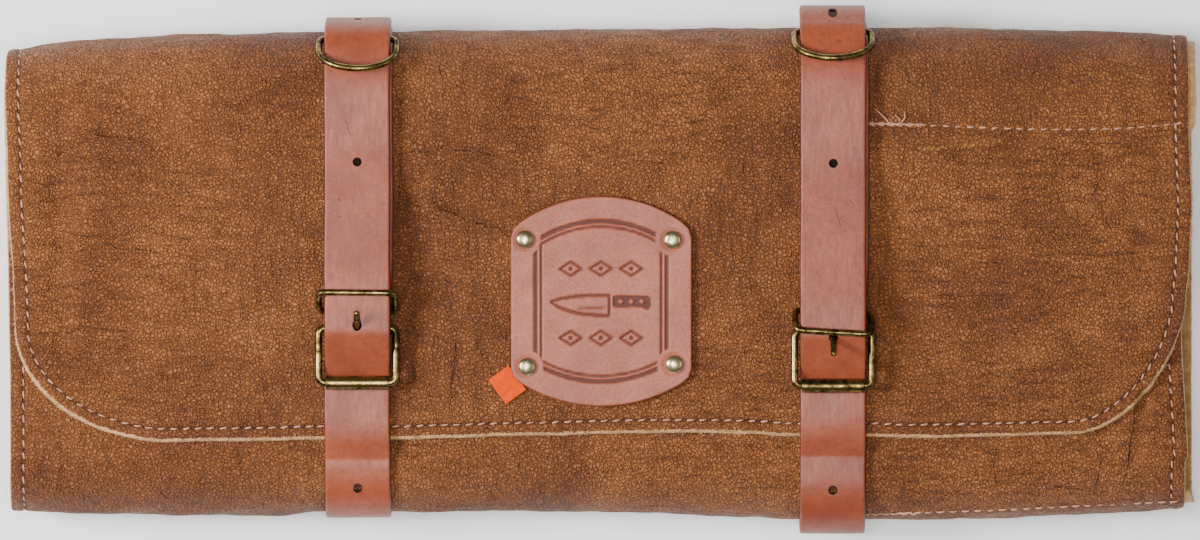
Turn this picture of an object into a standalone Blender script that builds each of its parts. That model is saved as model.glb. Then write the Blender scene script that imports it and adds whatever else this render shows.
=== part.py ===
"""Leather chef knife roll, rolled up and held by two buckled straps.

Metres, +Z up. The roll lies on its back on the plane z = 0, its length along X and
its flap's edge towards -Y. The origin is the centre of the footprint, on that plane.
"""

import math

import bmesh
import bpy
import numpy as np
from mathutils import Matrix, Vector

# Roll
ROLL_LENGTH = 0.510
ROLL_DEPTH = 0.2085
ROLL_MIDDLE_Y = -0.0005
TOP_THICKNESS = 0.052
BOTTOM_THICKNESS = 0.043
END_FLATTENING = 0.05
LEATHER = 0.0022
LAYER_PITCH = 0.0046
GAP = 0.0003
TURN_STEPS = 8

# Flap: its edge, and each rounded corner's width, height and superellipse power
FLAP_EDGE_RISE = 0.0027
FLAP_DROOP_RUN = 0.012
LEFT_CORNER = (0.0675, 0.0495, 2.0)
RIGHT_CORNER = (0.0477, 0.0579, 1.7)
CORNER_STEPS = 6
CORNER_COLUMN_REACH = {"left": 1.25, "right": 1.35}
LEFT_COLUMNS = (0, 0.12, 0.24, 0.38, 0.65)
MIDDLE_COLUMNS = (0.2, 0.4, 0.6, 0.8)
RIGHT_COLUMNS = (0.3, 0.55, 0.75, 0.88, 1)
INNER_TAIL_SHARE = 0.3

# Pocket panel sewn inside the right end
POCKET_THICKNESS = 0.0016
POCKET_WIDTH = 0.1460
POCKET_OVERHANG = 0.0028
POCKET_FRONT_SHARE = 0.28
POCKET_BOTTOM_SHARE = 0.75
POCKET_CORNER = 0.003
POCKET_FIRST_COLUMN = 0.002

# Straps
STRAP_WIDTH = 0.0284
STRAP_THICKNESS = 0.0026
STRAP_X = {"left": -0.1043, "right": 0.1002}
STRAP_GAP = 0.00035
STRAP_BED_MARGIN = 0.0045
STRAP_SHOULDER = 0.0145
STRAP_UNDER_SHIFT = 0.0012
STRAP_TIP_SHARE = 0.76
STRAP_TIP_LENGTH = 0.010
BOTTOM_PINCH = {"left": 0.0012, "right": 0.0}
BOTTOM_SLACK = {"left": 0.0, "right": 0.0036}
TOP_SLACK = {"left": 0.0006, "right": 0.0040}
HOLE_DIAMETER = 0.0036
HOLE_PITCH = 0.072
FLAP_STEP_RUN = 0.008
FLAP_STEP_CLEARANCE = 0.0006

# Buckles: frame, roller, prong and wire keeper
HINGE_Y = {"left": -0.0256, "right": -0.0269}
FRAME_WIRE = 0.0032
FRAME_WIDTH = 0.0364
FRAME_REACH = 0.0235
FRAME_CORNER = 0.0028
ROLLER_DIAMETER = 0.006
ROLLER_LENGTH = 0.027
ROLLER_CLEARANCE = 0.0004
PRONG_WIRE = 0.0028
PRONG_LENGTH = {"left": 0.0170, "right": 0.0172}
PRONG_LEAN_DEG = {"left": 55.0, "right": 138.0}
PRONG_SIDE = {"left": 1.0, "right": -1.0}
PRONG_HOLE_CLEARANCE = 0.00035
KEEPER_WIRE = 0.0028
KEEPER_WIDTH = 0.0354
KEEPER_HEIGHT = 0.0126
KEEPER_CORNER = 0.0028
KEEPER_TOP_Y = {"left": -0.0101, "right": -0.0271}
KEEPER_TURN_DEG = {"left": -0.6, "right": -3.4}
FOLD_LENGTH = 0.014
FOLD_CLEARANCE = 0.0005
RAMP_RUN = 0.0150
SLOT_LENGTH = 0.0200
SLOT_SIDE_CLEARANCE = 0.0005
SLOT_SHIFT = 0.0015
PRONG_TIP_SHARE = 0.55
PRONG_EYE_DEG = 285

# D-rings: the straight bar lies between the strap's layers, and the bow leans forward over the outer one
RING_WIRE = 0.0029
RING_WIDTH = 0.0359
RING_REACH = 0.0203
RING_BOW_REACH = 0.0123
RING_CORNER = 0.0030
RING_BAR_INSET = {"left": 0.0035, "right": 0.0019}
RING_STEEPNESS_DEG = {"left": 51.0, "right": 55.0}
RING_BUMP_SHARE = 0.11
RING_STATION_SHARE = 0.05
RING_CLEAR_SHARE = 0.03

# Patch, its rivets and the tab beside it
PATCH_WIDTH = 0.078
PATCH_SIDE = 0.0636
PATCH_TOP_BULGE = 0.0142
PATCH_BOTTOM_BULGE = 0.0127
PATCH_THICKNESS = 0.002
PATCH_CENTRE = (0.0006, -0.0148)
RIVET_HEAD = 0.0078
RIVET_DOME = 0.0019
RIVET_SHANK = 0.0024
RIVET_WASHER = 0.0009
RIVET_WASHER_DIAMETER = 0.0066
RIVET_RIM_SHARE = 0.25
TAB_SIZE = (0.0108, 0.0130)
TAB_THICKNESS = 0.0008
TAB_FROM_CORNER = (-0.0014, -0.0034)
TAB_TURN_DEG = 36.0

# Outline of the roll: a share of its length, and a share of its depth
TOP_EDGE = (
    (0.0, 0.451), (0.033, 0.467), (0.1, 0.480), (0.165, 0.488), (0.34, 0.494),
    (0.54, 0.499), (0.775, 0.502), (0.876, 0.498), (0.944, 0.494), (1.0, 0.484),
)
BOTTOM_EDGE = (
    (0.0, -0.496), (0.067, -0.506), (0.181, -0.510), (0.336, -0.506), (0.438, -0.500), (0.539, -0.504),
    (0.64, -0.513), (0.758, -0.521), (0.842, -0.515), (0.944, -0.502), (1.0, -0.494),
)
FLAP_EDGE = (
    (0.0, -0.358), (0.141, -0.358), (0.367, -0.350), (0.535, -0.339),
    (0.631, -0.340), (0.741, -0.350), (0.868, -0.344), (1.0, -0.341),
)

# Sides of the flap and of the panel under it: a share of the depth, and an inset as a share of the length
FLAP_LEFT = ((-0.12, 0.0088), (0.0, 0.0063), (0.14, 0.0030), (0.24, 0.0022), (0.35, 0.0004), (0.43, 0.0))
FLAP_RIGHT = ((-0.06, 0.0025), (-0.02, 0.0), (0.14, -0.0025), (0.28, 0.0), (0.48, 0.0))
PANEL_LEFT = ((-0.5, 0.0042), (-0.19, 0.0042), (0.14, 0.0020), (0.42, -0.0004))
PANEL_RIGHT = ((-0.5, 0.0025), (-0.4, 0.0), (-0.28, 0.0025), (-0.14, 0.0059), (0.4, 0.0059))

# Soft hollows of the front: centre and half sizes as shares, depth as a share of the sheet
DENTS = (
    {"x": 0.040, "y": 0.13, "half_x": 0.040, "half_y": 0.33, "depth": 0.65},
    {"x": 0.110, "y": 0.10, "half_x": 0.060, "half_y": 0.12, "depth": 0.30},
    {"x": 0.400, "y": 0.22, "half_x": 0.060, "half_y": 0.16, "depth": 0.35},
    {"x": 0.960, "y": -0.10, "half_x": 0.040, "half_y": 0.30, "depth": 0.50},
    {"x": 0.800, "y": 0.10, "half_x": 0.060, "half_y": 0.15, "depth": 0.35},
)

# Rivets: shares of the patch's width and of its straight side, from its centre
RIVETS = (
    {"name": "rivet_top_left", "x": -0.423, "y": 0.430},
    {"name": "rivet_top_right", "x": 0.391, "y": 0.428},
    {"name": "rivet_bottom_left", "x": -0.408, "y": -0.430},
    {"name": "rivet_bottom_right", "x": 0.401, "y": -0.414},
)

LEFT_X = -(ROLL_LENGTH + POCKET_OVERHANG) / 2
STRAP_HALF = STRAP_THICKNESS / 2
UNDER_HEIGHT = STRAP_GAP + STRAP_HALF
OVER_HEIGHT = UNDER_HEIGHT + STRAP_THICKNESS + STRAP_GAP
BED_HALF = STRAP_WIDTH / 2 + STRAP_BED_MARGIN
BACK_LIFT = STRAP_THICKNESS + STRAP_GAP
FOLD_RADIUS = FRAME_WIRE / 2 + FOLD_CLEARANCE + STRAP_HALF
HINGE_HEIGHT = UNDER_HEIGHT + FOLD_RADIUS
FOLD_TOP_HEIGHT = HINGE_HEIGHT + FOLD_RADIUS
OVER_HINGE_RADIUS = FOLD_RADIUS + STRAP_THICKNESS + STRAP_GAP
ROLLER_HEIGHT = UNDER_HEIGHT + STRAP_HALF + STRAP_GAP + ROLLER_DIAMETER / 2
UNDER_ROLLER_RADIUS = ROLLER_HEIGHT - UNDER_HEIGHT
FRAME_BAR_REACH = math.sqrt(FRAME_REACH**2 - (ROLLER_HEIGHT - HINGE_HEIGHT) ** 2)


def clear_scene():
    for obj in list(bpy.data.objects):
        bpy.data.objects.remove(obj, do_unlink=True)


def material(name, colour, roughness, metallic=0.0):
    made = bpy.data.materials.new(name)
    made.use_nodes = True
    surface = made.node_tree.nodes["Principled BSDF"]
    surface.inputs["Base Color"].default_value = (*colour, 1.0)
    surface.inputs["Roughness"].default_value = roughness
    surface.inputs["Metallic"].default_value = metallic
    return made


def add_object(name, mesh, look, parts):
    made = bpy.data.objects.new(name, mesh)
    made.data.materials.append(look)
    parts.objects.link(made)
    return made


def ease(value):
    """0 to 1 with a level start and end."""
    value = min(max(value, 0.0), 1.0)
    return value * value * (3 - 2 * value)


def mix(first, second, share):
    return first + (second - first) * share


def read(table, share):
    return float(np.interp(share, [row[0] for row in table], [row[1] for row in table]))


# The roll's cross-section


def bed_weight(x):
    """1 under a strap, falling to 0 past the soft shoulders beside it, with that strap's name."""
    near = min(STRAP_X, key=lambda side: abs(x - STRAP_X[side]))
    return 1 - ease((abs(x - STRAP_X[near]) - BED_HALF) / STRAP_SHOULDER), near


def roll_sizes(x):
    """The roll's edges, thicknesses and lift off the floor at x, kept level right under a strap."""
    weight, side = bed_weight(x)
    share = (mix(x, STRAP_X[side], weight) - LEFT_X) / ROLL_LENGTH
    flat = 1 - END_FLATTENING * abs(2 * share - 1) ** 3
    pinch = BOTTOM_PINCH[side] * weight
    return {
        "top": ROLL_MIDDLE_Y + read(TOP_EDGE, share) * ROLL_DEPTH,
        "bottom": ROLL_MIDDLE_Y + read(BOTTOM_EDGE, share) * ROLL_DEPTH + pinch,
        "edge": ROLL_MIDDLE_Y + read(FLAP_EDGE, share) * ROLL_DEPTH,
        "high": TOP_THICKNESS * flat,
        "low": BOTTOM_THICKNESS * flat,
        "lift": BACK_LIFT * weight,
    }


def raised(sizes, y, z):
    """The point lifted as the floor side is where a strap runs beneath it."""
    return y, z + sizes["lift"] * (1 - min(max(z / sizes["high"], 0.0), 1.0))


def front_y(sizes, share):
    """The front runs from the end of the lower turn, share 0, to the start of the upper turn, share 1."""
    return mix(sizes["bottom"] + sizes["low"] / 2, sizes["top"] - sizes["high"] / 2, share)


def on_front(sizes, y, height):
    """A point that lies height above the panel under the flap."""
    share = (y - front_y(sizes, 0)) / (front_y(sizes, 1) - front_y(sizes, 0))
    return raised(sizes, y, mix(sizes["low"], sizes["high"] - LAYER_PITCH, share) + height)


def on_turn(sizes, which, share, outwards):
    """Round the upper turn from front to back, or round the lower turn from back to front."""
    if which == "top":
        radius, middle, start = sizes["high"] / 2, sizes["top"] - sizes["high"] / 2, 90
    else:
        radius, middle, start = sizes["low"] / 2, sizes["bottom"] + sizes["low"] / 2, -90
    angle = math.radians(start - 180 * share)
    reach = radius + outwards
    return raised(sizes, middle + reach * math.cos(angle), radius + reach * math.sin(angle))


def on_back(sizes, share, outwards):
    return raised(sizes, mix(front_y(sizes, 1), front_y(sizes, 0), share), -outwards)


def flap_rise(distance):
    """How high the flap's outer face lies over the panel, at a distance from its edge."""
    return mix(FLAP_EDGE_RISE, LAYER_PITCH, min(distance / FLAP_DROOP_RUN, 1.0))


def dent(x, y):
    depth = 0.0
    for row in DENTS:
        across = abs((x - LEFT_X) / ROLL_LENGTH - row["x"]) / row["half_x"]
        along = abs((y - ROLL_MIDDLE_Y) / ROLL_DEPTH - row["y"]) / row["half_y"]
        if max(across, along) < 1:
            bump = math.cos(across * math.pi / 2) * math.cos(along * math.pi / 2)
            depth += row["depth"] * LEATHER * bump**2
    return depth * (1 - bed_weight(x)[0])


# The roll's rows, from the flap's edge inwards, and its columns


def corner_point(corner, angle):
    """How far a rounded corner has come in from the side, and up from the edge."""
    width, height, power = corner
    return width * (1 - math.sin(angle) ** (2 / power)), height * (1 - math.cos(angle) ** (2 / power))


def roll_rows():
    rows = []
    for step in range(CORNER_STEPS + 1):
        angle = math.pi / 2 * step / CORNER_STEPS
        left = corner_point(LEFT_CORNER, angle)
        right = corner_point(RIGHT_CORNER, angle)
        rows.append({"run": "flap", "left": left, "right": right, "share": 0.0})
    flap = {"run": "flap", "left": (0.0, left[1]), "right": (0.0, right[1])}
    turn = [step / TURN_STEPS for step in range(1, TURN_STEPS + 1)]
    quarters = (0.25, 0.5, 0.75, 1.0)
    rows += [{**flap, "share": share} for share in quarters]
    rows += [{"run": "top", "share": share, "inset": 0.0} for share in turn]
    rows += [{"run": "back", "share": share, "inset": 0.0} for share in quarters]
    rows += [{"run": "bottom", "share": share, "inset": 0.0} for share in turn]
    rows += [{"run": "front", "share": part / 7} for part in range(1, 8)]
    rows += [{"run": "top", "share": share, "inset": LAYER_PITCH} for share in turn]
    rows += [{"run": "back", "share": INNER_TAIL_SHARE * half, "inset": LAYER_PITCH} for half in (0.5, 1.0)]
    return rows


def row_ends(row):
    """The x of a row's two ends."""
    right_x = LEFT_X + ROLL_LENGTH
    if row["run"] == "flap":
        low_left = FLAP_EDGE[1][1] + row["left"][1] / ROLL_DEPTH
        low_right = FLAP_EDGE[-1][1] + row["right"][1] / ROLL_DEPTH
        depth_left = mix(low_left, TOP_EDGE[0][1] - 0.1, row["share"])
        depth_right = mix(low_right, TOP_EDGE[-1][1] - 0.1, row["share"])
        left = read(FLAP_LEFT, depth_left) * ROLL_LENGTH + row["left"][0]
        right = read(FLAP_RIGHT, depth_right) * ROLL_LENGTH + row["right"][0]
    elif row["run"] == "front":
        depth = mix(-0.4, 0.4, row["share"])
        left = read(PANEL_LEFT, depth) * ROLL_LENGTH
        right = read(PANEL_RIGHT, depth) * ROLL_LENGTH
    elif row.get("inset"):
        left = PANEL_LEFT[-1][1] * ROLL_LENGTH
        right = PANEL_RIGHT[-1][1] * ROLL_LENGTH
    else:
        done = {"top": 0.0, "back": 0.25, "bottom": 0.75}[row["run"]] + row["share"] * 0.25
        left = mix(FLAP_LEFT[-1][1], PANEL_LEFT[0][1], done) * ROLL_LENGTH
        right = mix(FLAP_RIGHT[-1][1], PANEL_RIGHT[0][1], done) * ROLL_LENGTH
    return LEFT_X + left, right_x - right


def strap_columns(side):
    """Columns at the edges of a strap's bed and across its shoulders."""
    half = BED_HALF + STRAP_SHOULDER / 2
    offsets = (BED_HALF + STRAP_SHOULDER, half, BED_HALF)
    return [STRAP_X[side] - d for d in offsets] + [STRAP_X[side] + d for d in reversed(offsets)]


def row_xs(row):
    """A row's columns. The middle ones stay at their x, and the others close up where the corners round."""
    start, end = row_ends(row)
    first = LEFT_X + LEFT_CORNER[0] * CORNER_COLUMN_REACH["left"]
    last = LEFT_X + ROLL_LENGTH - RIGHT_CORNER[0] * CORNER_COLUMN_REACH["right"]
    left = strap_columns("left")
    right = strap_columns("right")
    xs = [mix(start, first, share) for share in LEFT_COLUMNS]
    xs += [first, *left]
    xs += [mix(left[-1], right[0], share) for share in MIDDLE_COLUMNS]
    xs += [*right, last]
    xs += [mix(last, end, share) for share in RIGHT_COLUMNS]
    return xs


def roll_point(row, x):
    sizes = roll_sizes(x)
    if row["run"] == "flap":
        share = min(max((x - LEFT_X) / ROLL_LENGTH, 0.0), 1.0)
        start = sizes["edge"] + mix(row["left"][1], row["right"][1], share)
        y = mix(start, front_y(sizes, 1), row["share"])
        y, z = on_front(sizes, y, flap_rise(y - sizes["edge"]))
        return x, y, z - dent(x, y)
    if row["run"] == "front":
        y, z = on_front(sizes, front_y(sizes, row["share"]), 0.0)
        return x, y, z - dent(x, y)
    if row["run"] == "back":
        return x, *on_back(sizes, row["share"], -row["inset"])
    return x, *on_turn(sizes, row["run"], row["share"], -row["inset"])


def sheet_mesh(name, grid):
    """An open surface through a grid of points, its columns from left to right."""
    mesh = bpy.data.meshes.new(name)
    across = len(grid[0])
    faces = []
    for i in range(len(grid) - 1):
        for j in range(across - 1):
            corner = i * across + j
            faces.append((corner, corner + 1, corner + across + 1, corner + across))
    mesh.from_pydata([point for row in grid for point in row], [], faces)
    return mesh


def solidify(obj, thickness, offset):
    step = obj.modifiers.new("Thickness", "SOLIDIFY")
    step.thickness = thickness
    step.offset = offset
    step.use_even_offset = True
    step.use_quality_normals = True


def cut(obj, cutters):
    for cutter in cutters:
        step = obj.modifiers.new(cutter.name, "BOOLEAN")
        step.operation = "DIFFERENCE"
        step.solver = "EXACT"
        step.object = cutter


def make_roll(parts, look):
    grid = [[roll_point(row, x) for x in row_xs(row)] for row in roll_rows()]
    roll = add_object("roll_leather", sheet_mesh("roll_leather", grid), look, parts)
    solidify(roll, LEATHER, -1.0)
    return roll


def pocket_rows():
    """The rows of the roll's outer turn that the pocket panel follows, from its front edge to its end."""
    low = {"run": "flap", "left": (0.0, 0.0), "right": (0.0, 0.0), "share": 0.0}
    rows = [{**low, "up": 0.0, "corner": POCKET_CORNER}, {**low, "up": POCKET_CORNER}, {**low, "share": 1.0}]
    for row in roll_rows():
        past_end = row["run"] == "bottom" and row["share"] > POCKET_BOTTOM_SHARE
        if row["run"] in ("top", "back", "bottom") and row["inset"] == 0.0 and not past_end:
            rows.append(row)
    return rows


def make_pocket(parts, look):
    """The panel lies inside the roll's outer turn, and its side edge shows at the right end."""
    inset = LEATHER + GAP
    end = LEFT_X + ROLL_LENGTH + POCKET_OVERHANG
    start = end - POCKET_WIDTH
    grid = []
    low = ROLL_MIDDLE_Y + POCKET_FRONT_SHARE * ROLL_DEPTH
    for row in pocket_rows():
        whole = {**row, "share": 1.0} if "up" in row else row
        xs = [x for x in row_xs(whole) if x > start + POCKET_FIRST_COLUMN]
        points = []
        for x in [start, *xs, end - row.get("corner", 0.0)]:
            sizes = roll_sizes(x)
            if row["run"] == "flap":
                y = low + row["up"] if "up" in row else front_y(sizes, 1)
                y, z = on_front(sizes, y, LAYER_PITCH - inset)
            elif row["run"] == "back":
                y, z = on_back(sizes, row["share"], -inset)
            else:
                y, z = on_turn(sizes, row["run"], row["share"], -inset)
            points.append((x, y, z))
        grid.append(points)
    pocket = add_object("pocket_panel", sheet_mesh("pocket_panel", grid), look, parts)
    solidify(pocket, POCKET_THICKNESS, -1.0)
    return pocket


# Straps


def hinge_point(side, height=HINGE_HEIGHT):
    sizes = roll_sizes(STRAP_X[side])
    return on_front(sizes, HINGE_Y[side], LAYER_PITCH + height)


def front_slope(side):
    """The angle at which the front rises towards +Y under a strap."""
    sizes = roll_sizes(STRAP_X[side])
    low = on_front(sizes, front_y(sizes, 0.2), 0)
    high = on_front(sizes, front_y(sizes, 0.8), 0)
    return math.atan2(high[1] - low[1], high[0] - low[0])


def from_hinge(side, along, height):
    """A point in the buckle's own plane, along the front from the hinge bar and height over its axis."""
    slope = front_slope(side)
    y, z = hinge_point(side)
    y += along * math.cos(slope) - height * math.sin(slope)
    z += along * math.sin(slope) + height * math.cos(slope)
    return y, z


def arc(side, centre, radius, start_deg, end_deg, steps):
    points = []
    for step in range(steps + 1):
        angle = math.radians(mix(start_deg, end_deg, step / steps))
        along = centre[0] + radius * math.cos(angle)
        points.append(from_hinge(side, along, centre[1] + radius * math.sin(angle)))
    return points


def crossing_deg():
    """How steeply the strap falls from over the hinge bar to under the roller."""
    drop = math.atan2(HINGE_HEIGHT - ROLLER_HEIGHT, FRAME_BAR_REACH)
    return math.degrees(math.asin((OVER_HINGE_RADIUS + UNDER_ROLLER_RADIUS) / FRAME_REACH) + drop)


def strap_path(side):
    """Points of the strap's middle line with a sideways shift, from the end folded back at the
    buckle to the tip, and the index of the one straight over the hinge bar."""
    sizes = roll_sizes(STRAP_X[side])
    under = UNDER_HEIGHT - HINGE_HEIGHT
    fold_top = FOLD_TOP_HEIGHT - HINGE_HEIGHT
    path = [(*from_hinge(side, FOLD_LENGTH, under), 0.0)]
    path += [(*point, 0.0) for point in arc(side, (0, 0), FOLD_RADIUS, 270, 90, 8)]
    bar = keeper_foot(side)
    path.append((*from_hinge(side, bar + KEEPER_WIRE, fold_top), 0.0))
    path.append((*from_hinge(side, bar + KEEPER_WIRE + RAMP_RUN, under), STRAP_UNDER_SHIFT))
    turn = [step / TURN_STEPS for step in range(TURN_STEPS + 1)]
    for share in turn:
        path.append((*on_turn(sizes, "top", share, UNDER_HEIGHT), mix(STRAP_UNDER_SHIFT, 0, share)))
    for share in (0.25, 0.5, 0.75, 1.0):
        path.append((*on_back(sizes, share, UNDER_HEIGHT), 0.0))
    for share in turn[1:]:
        slack = BOTTOM_SLACK[side] * math.sin(share * math.pi) ** 2
        y, z = on_turn(sizes, "bottom", share, UNDER_HEIGHT + slack)
        path.append((y, max(z, STRAP_HALF), 0.0))
    edge = sizes["edge"]
    path.append((*on_front(sizes, edge - FLAP_STEP_RUN, UNDER_HEIGHT), 0.0))
    path.append((*on_front(sizes, edge - FLAP_STEP_CLEARANCE, UNDER_HEIGHT + FLAP_EDGE_RISE), 0.0))
    path.append((*on_front(sizes, edge + FLAP_DROOP_RUN, UNDER_HEIGHT + LAYER_PITCH), 0.0))
    fall = crossing_deg()
    roller = (-FRAME_BAR_REACH, ROLLER_HEIGHT - HINGE_HEIGHT)
    path += [(*point, 0.0) for point in arc(side, roller, UNDER_ROLLER_RADIUS, 270, 270 + fall, 4)]
    path += [(*point, 0.0) for point in arc(side, (0, 0), OVER_HINGE_RADIUS, 90 + fall, 90, 4)]
    above_hinge = len(path) - 1
    end = max(bar, keeper_head(side)) + KEEPER_WIRE
    path.append((*from_hinge(side, end, OVER_HINGE_RADIUS), 0.0))
    path.append((*from_hinge(side, end + RAMP_RUN, OVER_HEIGHT - HINGE_HEIGHT), 0.0))
    middle = ring_share(side, sizes)
    stations = [middle - RING_STATION_SHARE, middle, middle + RING_STATION_SHARE, STRAP_TIP_SHARE]
    for share in turn:
        if share < STRAP_TIP_SHARE and min(abs(share - other) for other in stations) > RING_CLEAR_SHARE:
            stations.append(share)
    for share in sorted(stations):
        path.append((*over_turn(side, sizes, share), 0.0))
    return path, above_hinge


def over_turn(side, sizes, share):
    """The outer layer round the upper turn. It stands off over the ring's bar, and by its own slack."""
    away = (share - ring_share(side, sizes)) / RING_BUMP_SHARE
    room = (RING_WIRE + STRAP_GAP) * math.exp(-(away**2))
    slack = TOP_SLACK[side] * math.sin(min(share, 1.0) * math.pi) ** 1.5
    return on_turn(sizes, "top", share, OVER_HEIGHT + max(room, slack))


def ring_outwards():
    """The ring's bar lies on the under layer, this far out from the roll."""
    return UNDER_HEIGHT + STRAP_HALF + STRAP_GAP + RING_WIRE / 2


def ring_share(side, sizes):
    """How far round the upper turn the ring's bar lies."""
    radius = sizes["high"] / 2
    across = (radius - RING_BAR_INSET[side]) / (radius + ring_outwards())
    return 0.5 - math.degrees(math.acos(min(max(across, 0.0), 1.0))) / 180


def point_along(path, start, distance):
    """The point and the direction at a distance along the path from one of its corners."""
    step = 1 if distance > 0 else -1
    left = abs(distance)
    index = start
    while True:
        here = Vector(path[index][:2])
        ahead = Vector(path[index + step][:2]) - here
        if ahead.length >= left:
            return here + ahead.normalized() * left, ahead.normalized()
        left -= ahead.length
        index += step


def cylinder_cutter(name, radius, length, centre, direction, cutters):
    """A round cutter with its middle at centre and its axis along direction."""
    mesh = bpy.data.meshes.new(name)
    shape = bmesh.new()
    bmesh.ops.create_cone(shape, cap_ends=True, segments=16, radius1=radius, radius2=radius, depth=length)
    shape.to_mesh(mesh)
    shape.free()
    cutter = bpy.data.objects.new(name, mesh)
    cutter.location = centre
    cutter.rotation_mode = "QUATERNION"
    cutter.rotation_quaternion = Vector(direction).to_track_quat("Z", "X")
    cutter.hide_render = True
    cutter.display_type = "WIRE"
    cutters.objects.link(cutter)
    return cutter


def box_cutter(name, size, centre, turn, cutters):
    mesh = bpy.data.meshes.new(name)
    shape = bmesh.new()
    bmesh.ops.create_cube(shape, size=1.0)
    bmesh.ops.scale(shape, vec=size, verts=shape.verts)
    shape.to_mesh(mesh)
    shape.free()
    cutter = bpy.data.objects.new(name, mesh)
    cutter.matrix_world = Matrix.Translation(centre) @ turn.to_4x4()
    cutter.hide_render = True
    cutter.display_type = "WIRE"
    cutters.objects.link(cutter)
    return cutter


def make_strap(side, parts, cutters, look):
    path, above_hinge = strap_path(side)
    grid = []
    half = STRAP_WIDTH / 2
    last = len(path) - 1
    for index, (y, z, shift) in enumerate(path):
        narrow = STRAP_TIP_LENGTH if index == last else 0.0
        grid.append([(STRAP_X[side] + shift + across, y, z) for across in (-half + narrow, half - narrow)])
    strap = add_object("strap_" + side, sheet_mesh("strap_" + side, grid), look, parts)
    solidify(strap, STRAP_THICKNESS, 0.0)

    slot_top = FOLD_RADIUS + STRAP_HALF + STRAP_GAP / 2
    slot_low = FOLD_RADIUS + STRAP_HALF + STRAP_GAP
    slot_size = (PRONG_WIRE + 2 * SLOT_SIDE_CLEARANCE, SLOT_LENGTH, slot_top + slot_low)
    slot_middle = from_hinge(side, SLOT_SHIFT, (slot_top - slot_low) / 2)
    lean = Matrix.Rotation(front_slope(side), 3, "X")
    tools = [box_cutter(f"slot_cut_{side}", slot_size, (STRAP_X[side], *slot_middle), lean, cutters)]

    base, direction = prong_line(side)
    middle = base + direction * OVER_HINGE_RADIUS
    radius = PRONG_WIRE / 2 + PRONG_HOLE_CLEARANCE
    through = 5 * STRAP_THICKNESS
    tools.append(cylinder_cutter(f"prong_cut_{side}", radius, through, middle, direction, cutters))
    for number, distance in enumerate((-HOLE_PITCH, HOLE_PITCH, 2 * HOLE_PITCH)):
        point, ahead = point_along(path, above_hinge, distance)
        where = (STRAP_X[side], point.x, point.y)
        normal = (0, -ahead.y, ahead.x)
        name = f"hole_cut_{side}_{number}"
        deep = STRAP_THICKNESS * 1.8
        tools.append(cylinder_cutter(name, HOLE_DIAMETER / 2, deep, where, normal, cutters))
    cut(strap, tools)
    return strap


# Metal parts


def wire_object(name, points, radius, cyclic, look, parts):
    curve = bpy.data.curves.new(name, "CURVE")
    curve.dimensions = "3D"
    curve.bevel_depth = radius
    curve.bevel_resolution = 2
    curve.use_fill_caps = not cyclic
    spline = curve.splines.new("POLY")
    spline.points.add(len(points) - 1)
    for target, point in zip(spline.points, points):
        target.co = (*point, 1.0)
    spline.use_cyclic_u = cyclic
    spline.use_smooth = True
    made = bpy.data.objects.new(name, curve)
    made.data.materials.append(look)
    parts.objects.link(made)
    return made


def rounded_loop(width, height, corner, steps=4):
    """A corner-rounded rectangle in a plane, centred on 0, measured between its middle lines."""
    points = []
    for quarter, (sx, sy) in enumerate(((1, 1), (-1, 1), (-1, -1), (1, -1))):
        for step in range(steps + 1):
            angle = math.radians(90 * (quarter + step / steps))
            x = sx * (width / 2 - corner) + corner * math.cos(angle)
            y = sy * (height / 2 - corner) + corner * math.sin(angle)
            points.append((x, y))
    return points


def make_frame(side, parts, look):
    """A wire loop from the hinge bar, inside the strap's fold, to the bar that carries the roller."""
    middle = STRAP_X[side]
    rise = (ROLLER_HEIGHT - HINGE_HEIGHT) / FRAME_BAR_REACH
    points = []
    for across, along in rounded_loop(FRAME_WIDTH - FRAME_WIRE, FRAME_REACH, FRAME_CORNER):
        reach = (along - FRAME_REACH / 2) * FRAME_BAR_REACH / FRAME_REACH
        points.append((middle + across, *from_hinge(side, reach, -reach * rise)))
    return wire_object("buckle_frame_" + side, points, FRAME_WIRE / 2, True, look, parts)


def roller_centre(side):
    return Vector((STRAP_X[side], *from_hinge(side, -FRAME_BAR_REACH, ROLLER_HEIGHT - HINGE_HEIGHT)))


def make_roller(side, parts, look):
    """A turned sleeve, loose on the frame's outer bar, with its origin on that bar."""
    inner = FRAME_WIRE / 2 + ROLLER_CLEARANCE
    outer = ROLLER_DIAMETER / 2
    half = ROLLER_LENGTH / 2
    edge = ROLLER_CLEARANCE
    profile = [(outer, half - edge), (outer, -half + edge), (outer - edge, -half)]
    profile += [(inner, -half), (inner, half), (outer - edge, half)]
    roller = turned("buckle_roller_" + side, profile, True, 20, look, parts)
    roller.location = roller_centre(side)
    roller.rotation_euler = (0, math.pi / 2, 0)
    return roller


def turned(name, profile, closed, steps, look, parts):
    """A profile of (radius, height) points, top first down the outer side, turned round Z."""
    mesh = bpy.data.meshes.new(name)
    points = [(radius, 0, height) for radius, height in profile]
    edges = [(i, i + 1) for i in range(len(points) - 1)]
    if closed:
        edges.append((len(points) - 1, 0))
    mesh.from_pydata(points, edges, [])
    made = add_object(name, mesh, look, parts)
    step = made.modifiers.new("Turn", "SCREW")
    step.steps = steps
    step.render_steps = steps
    step.use_merge_vertices = True
    step.merge_threshold = 0.00001
    step.use_smooth_shade = True
    return made


def prong_line(side):
    """Where the prong's straight shank leaves its eye, and its direction."""
    radius = FRAME_WIRE / 2 + GAP + PRONG_WIRE / 2
    lean = math.radians(PRONG_LEAN_DEG[side])
    away = lean + PRONG_SIDE[side] * math.pi / 2
    y, z = hinge_point(side)
    base = Vector((STRAP_X[side], y + radius * math.cos(away), z + radius * math.sin(away)))
    return base, Vector((0, math.cos(lean), math.sin(lean)))


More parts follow.
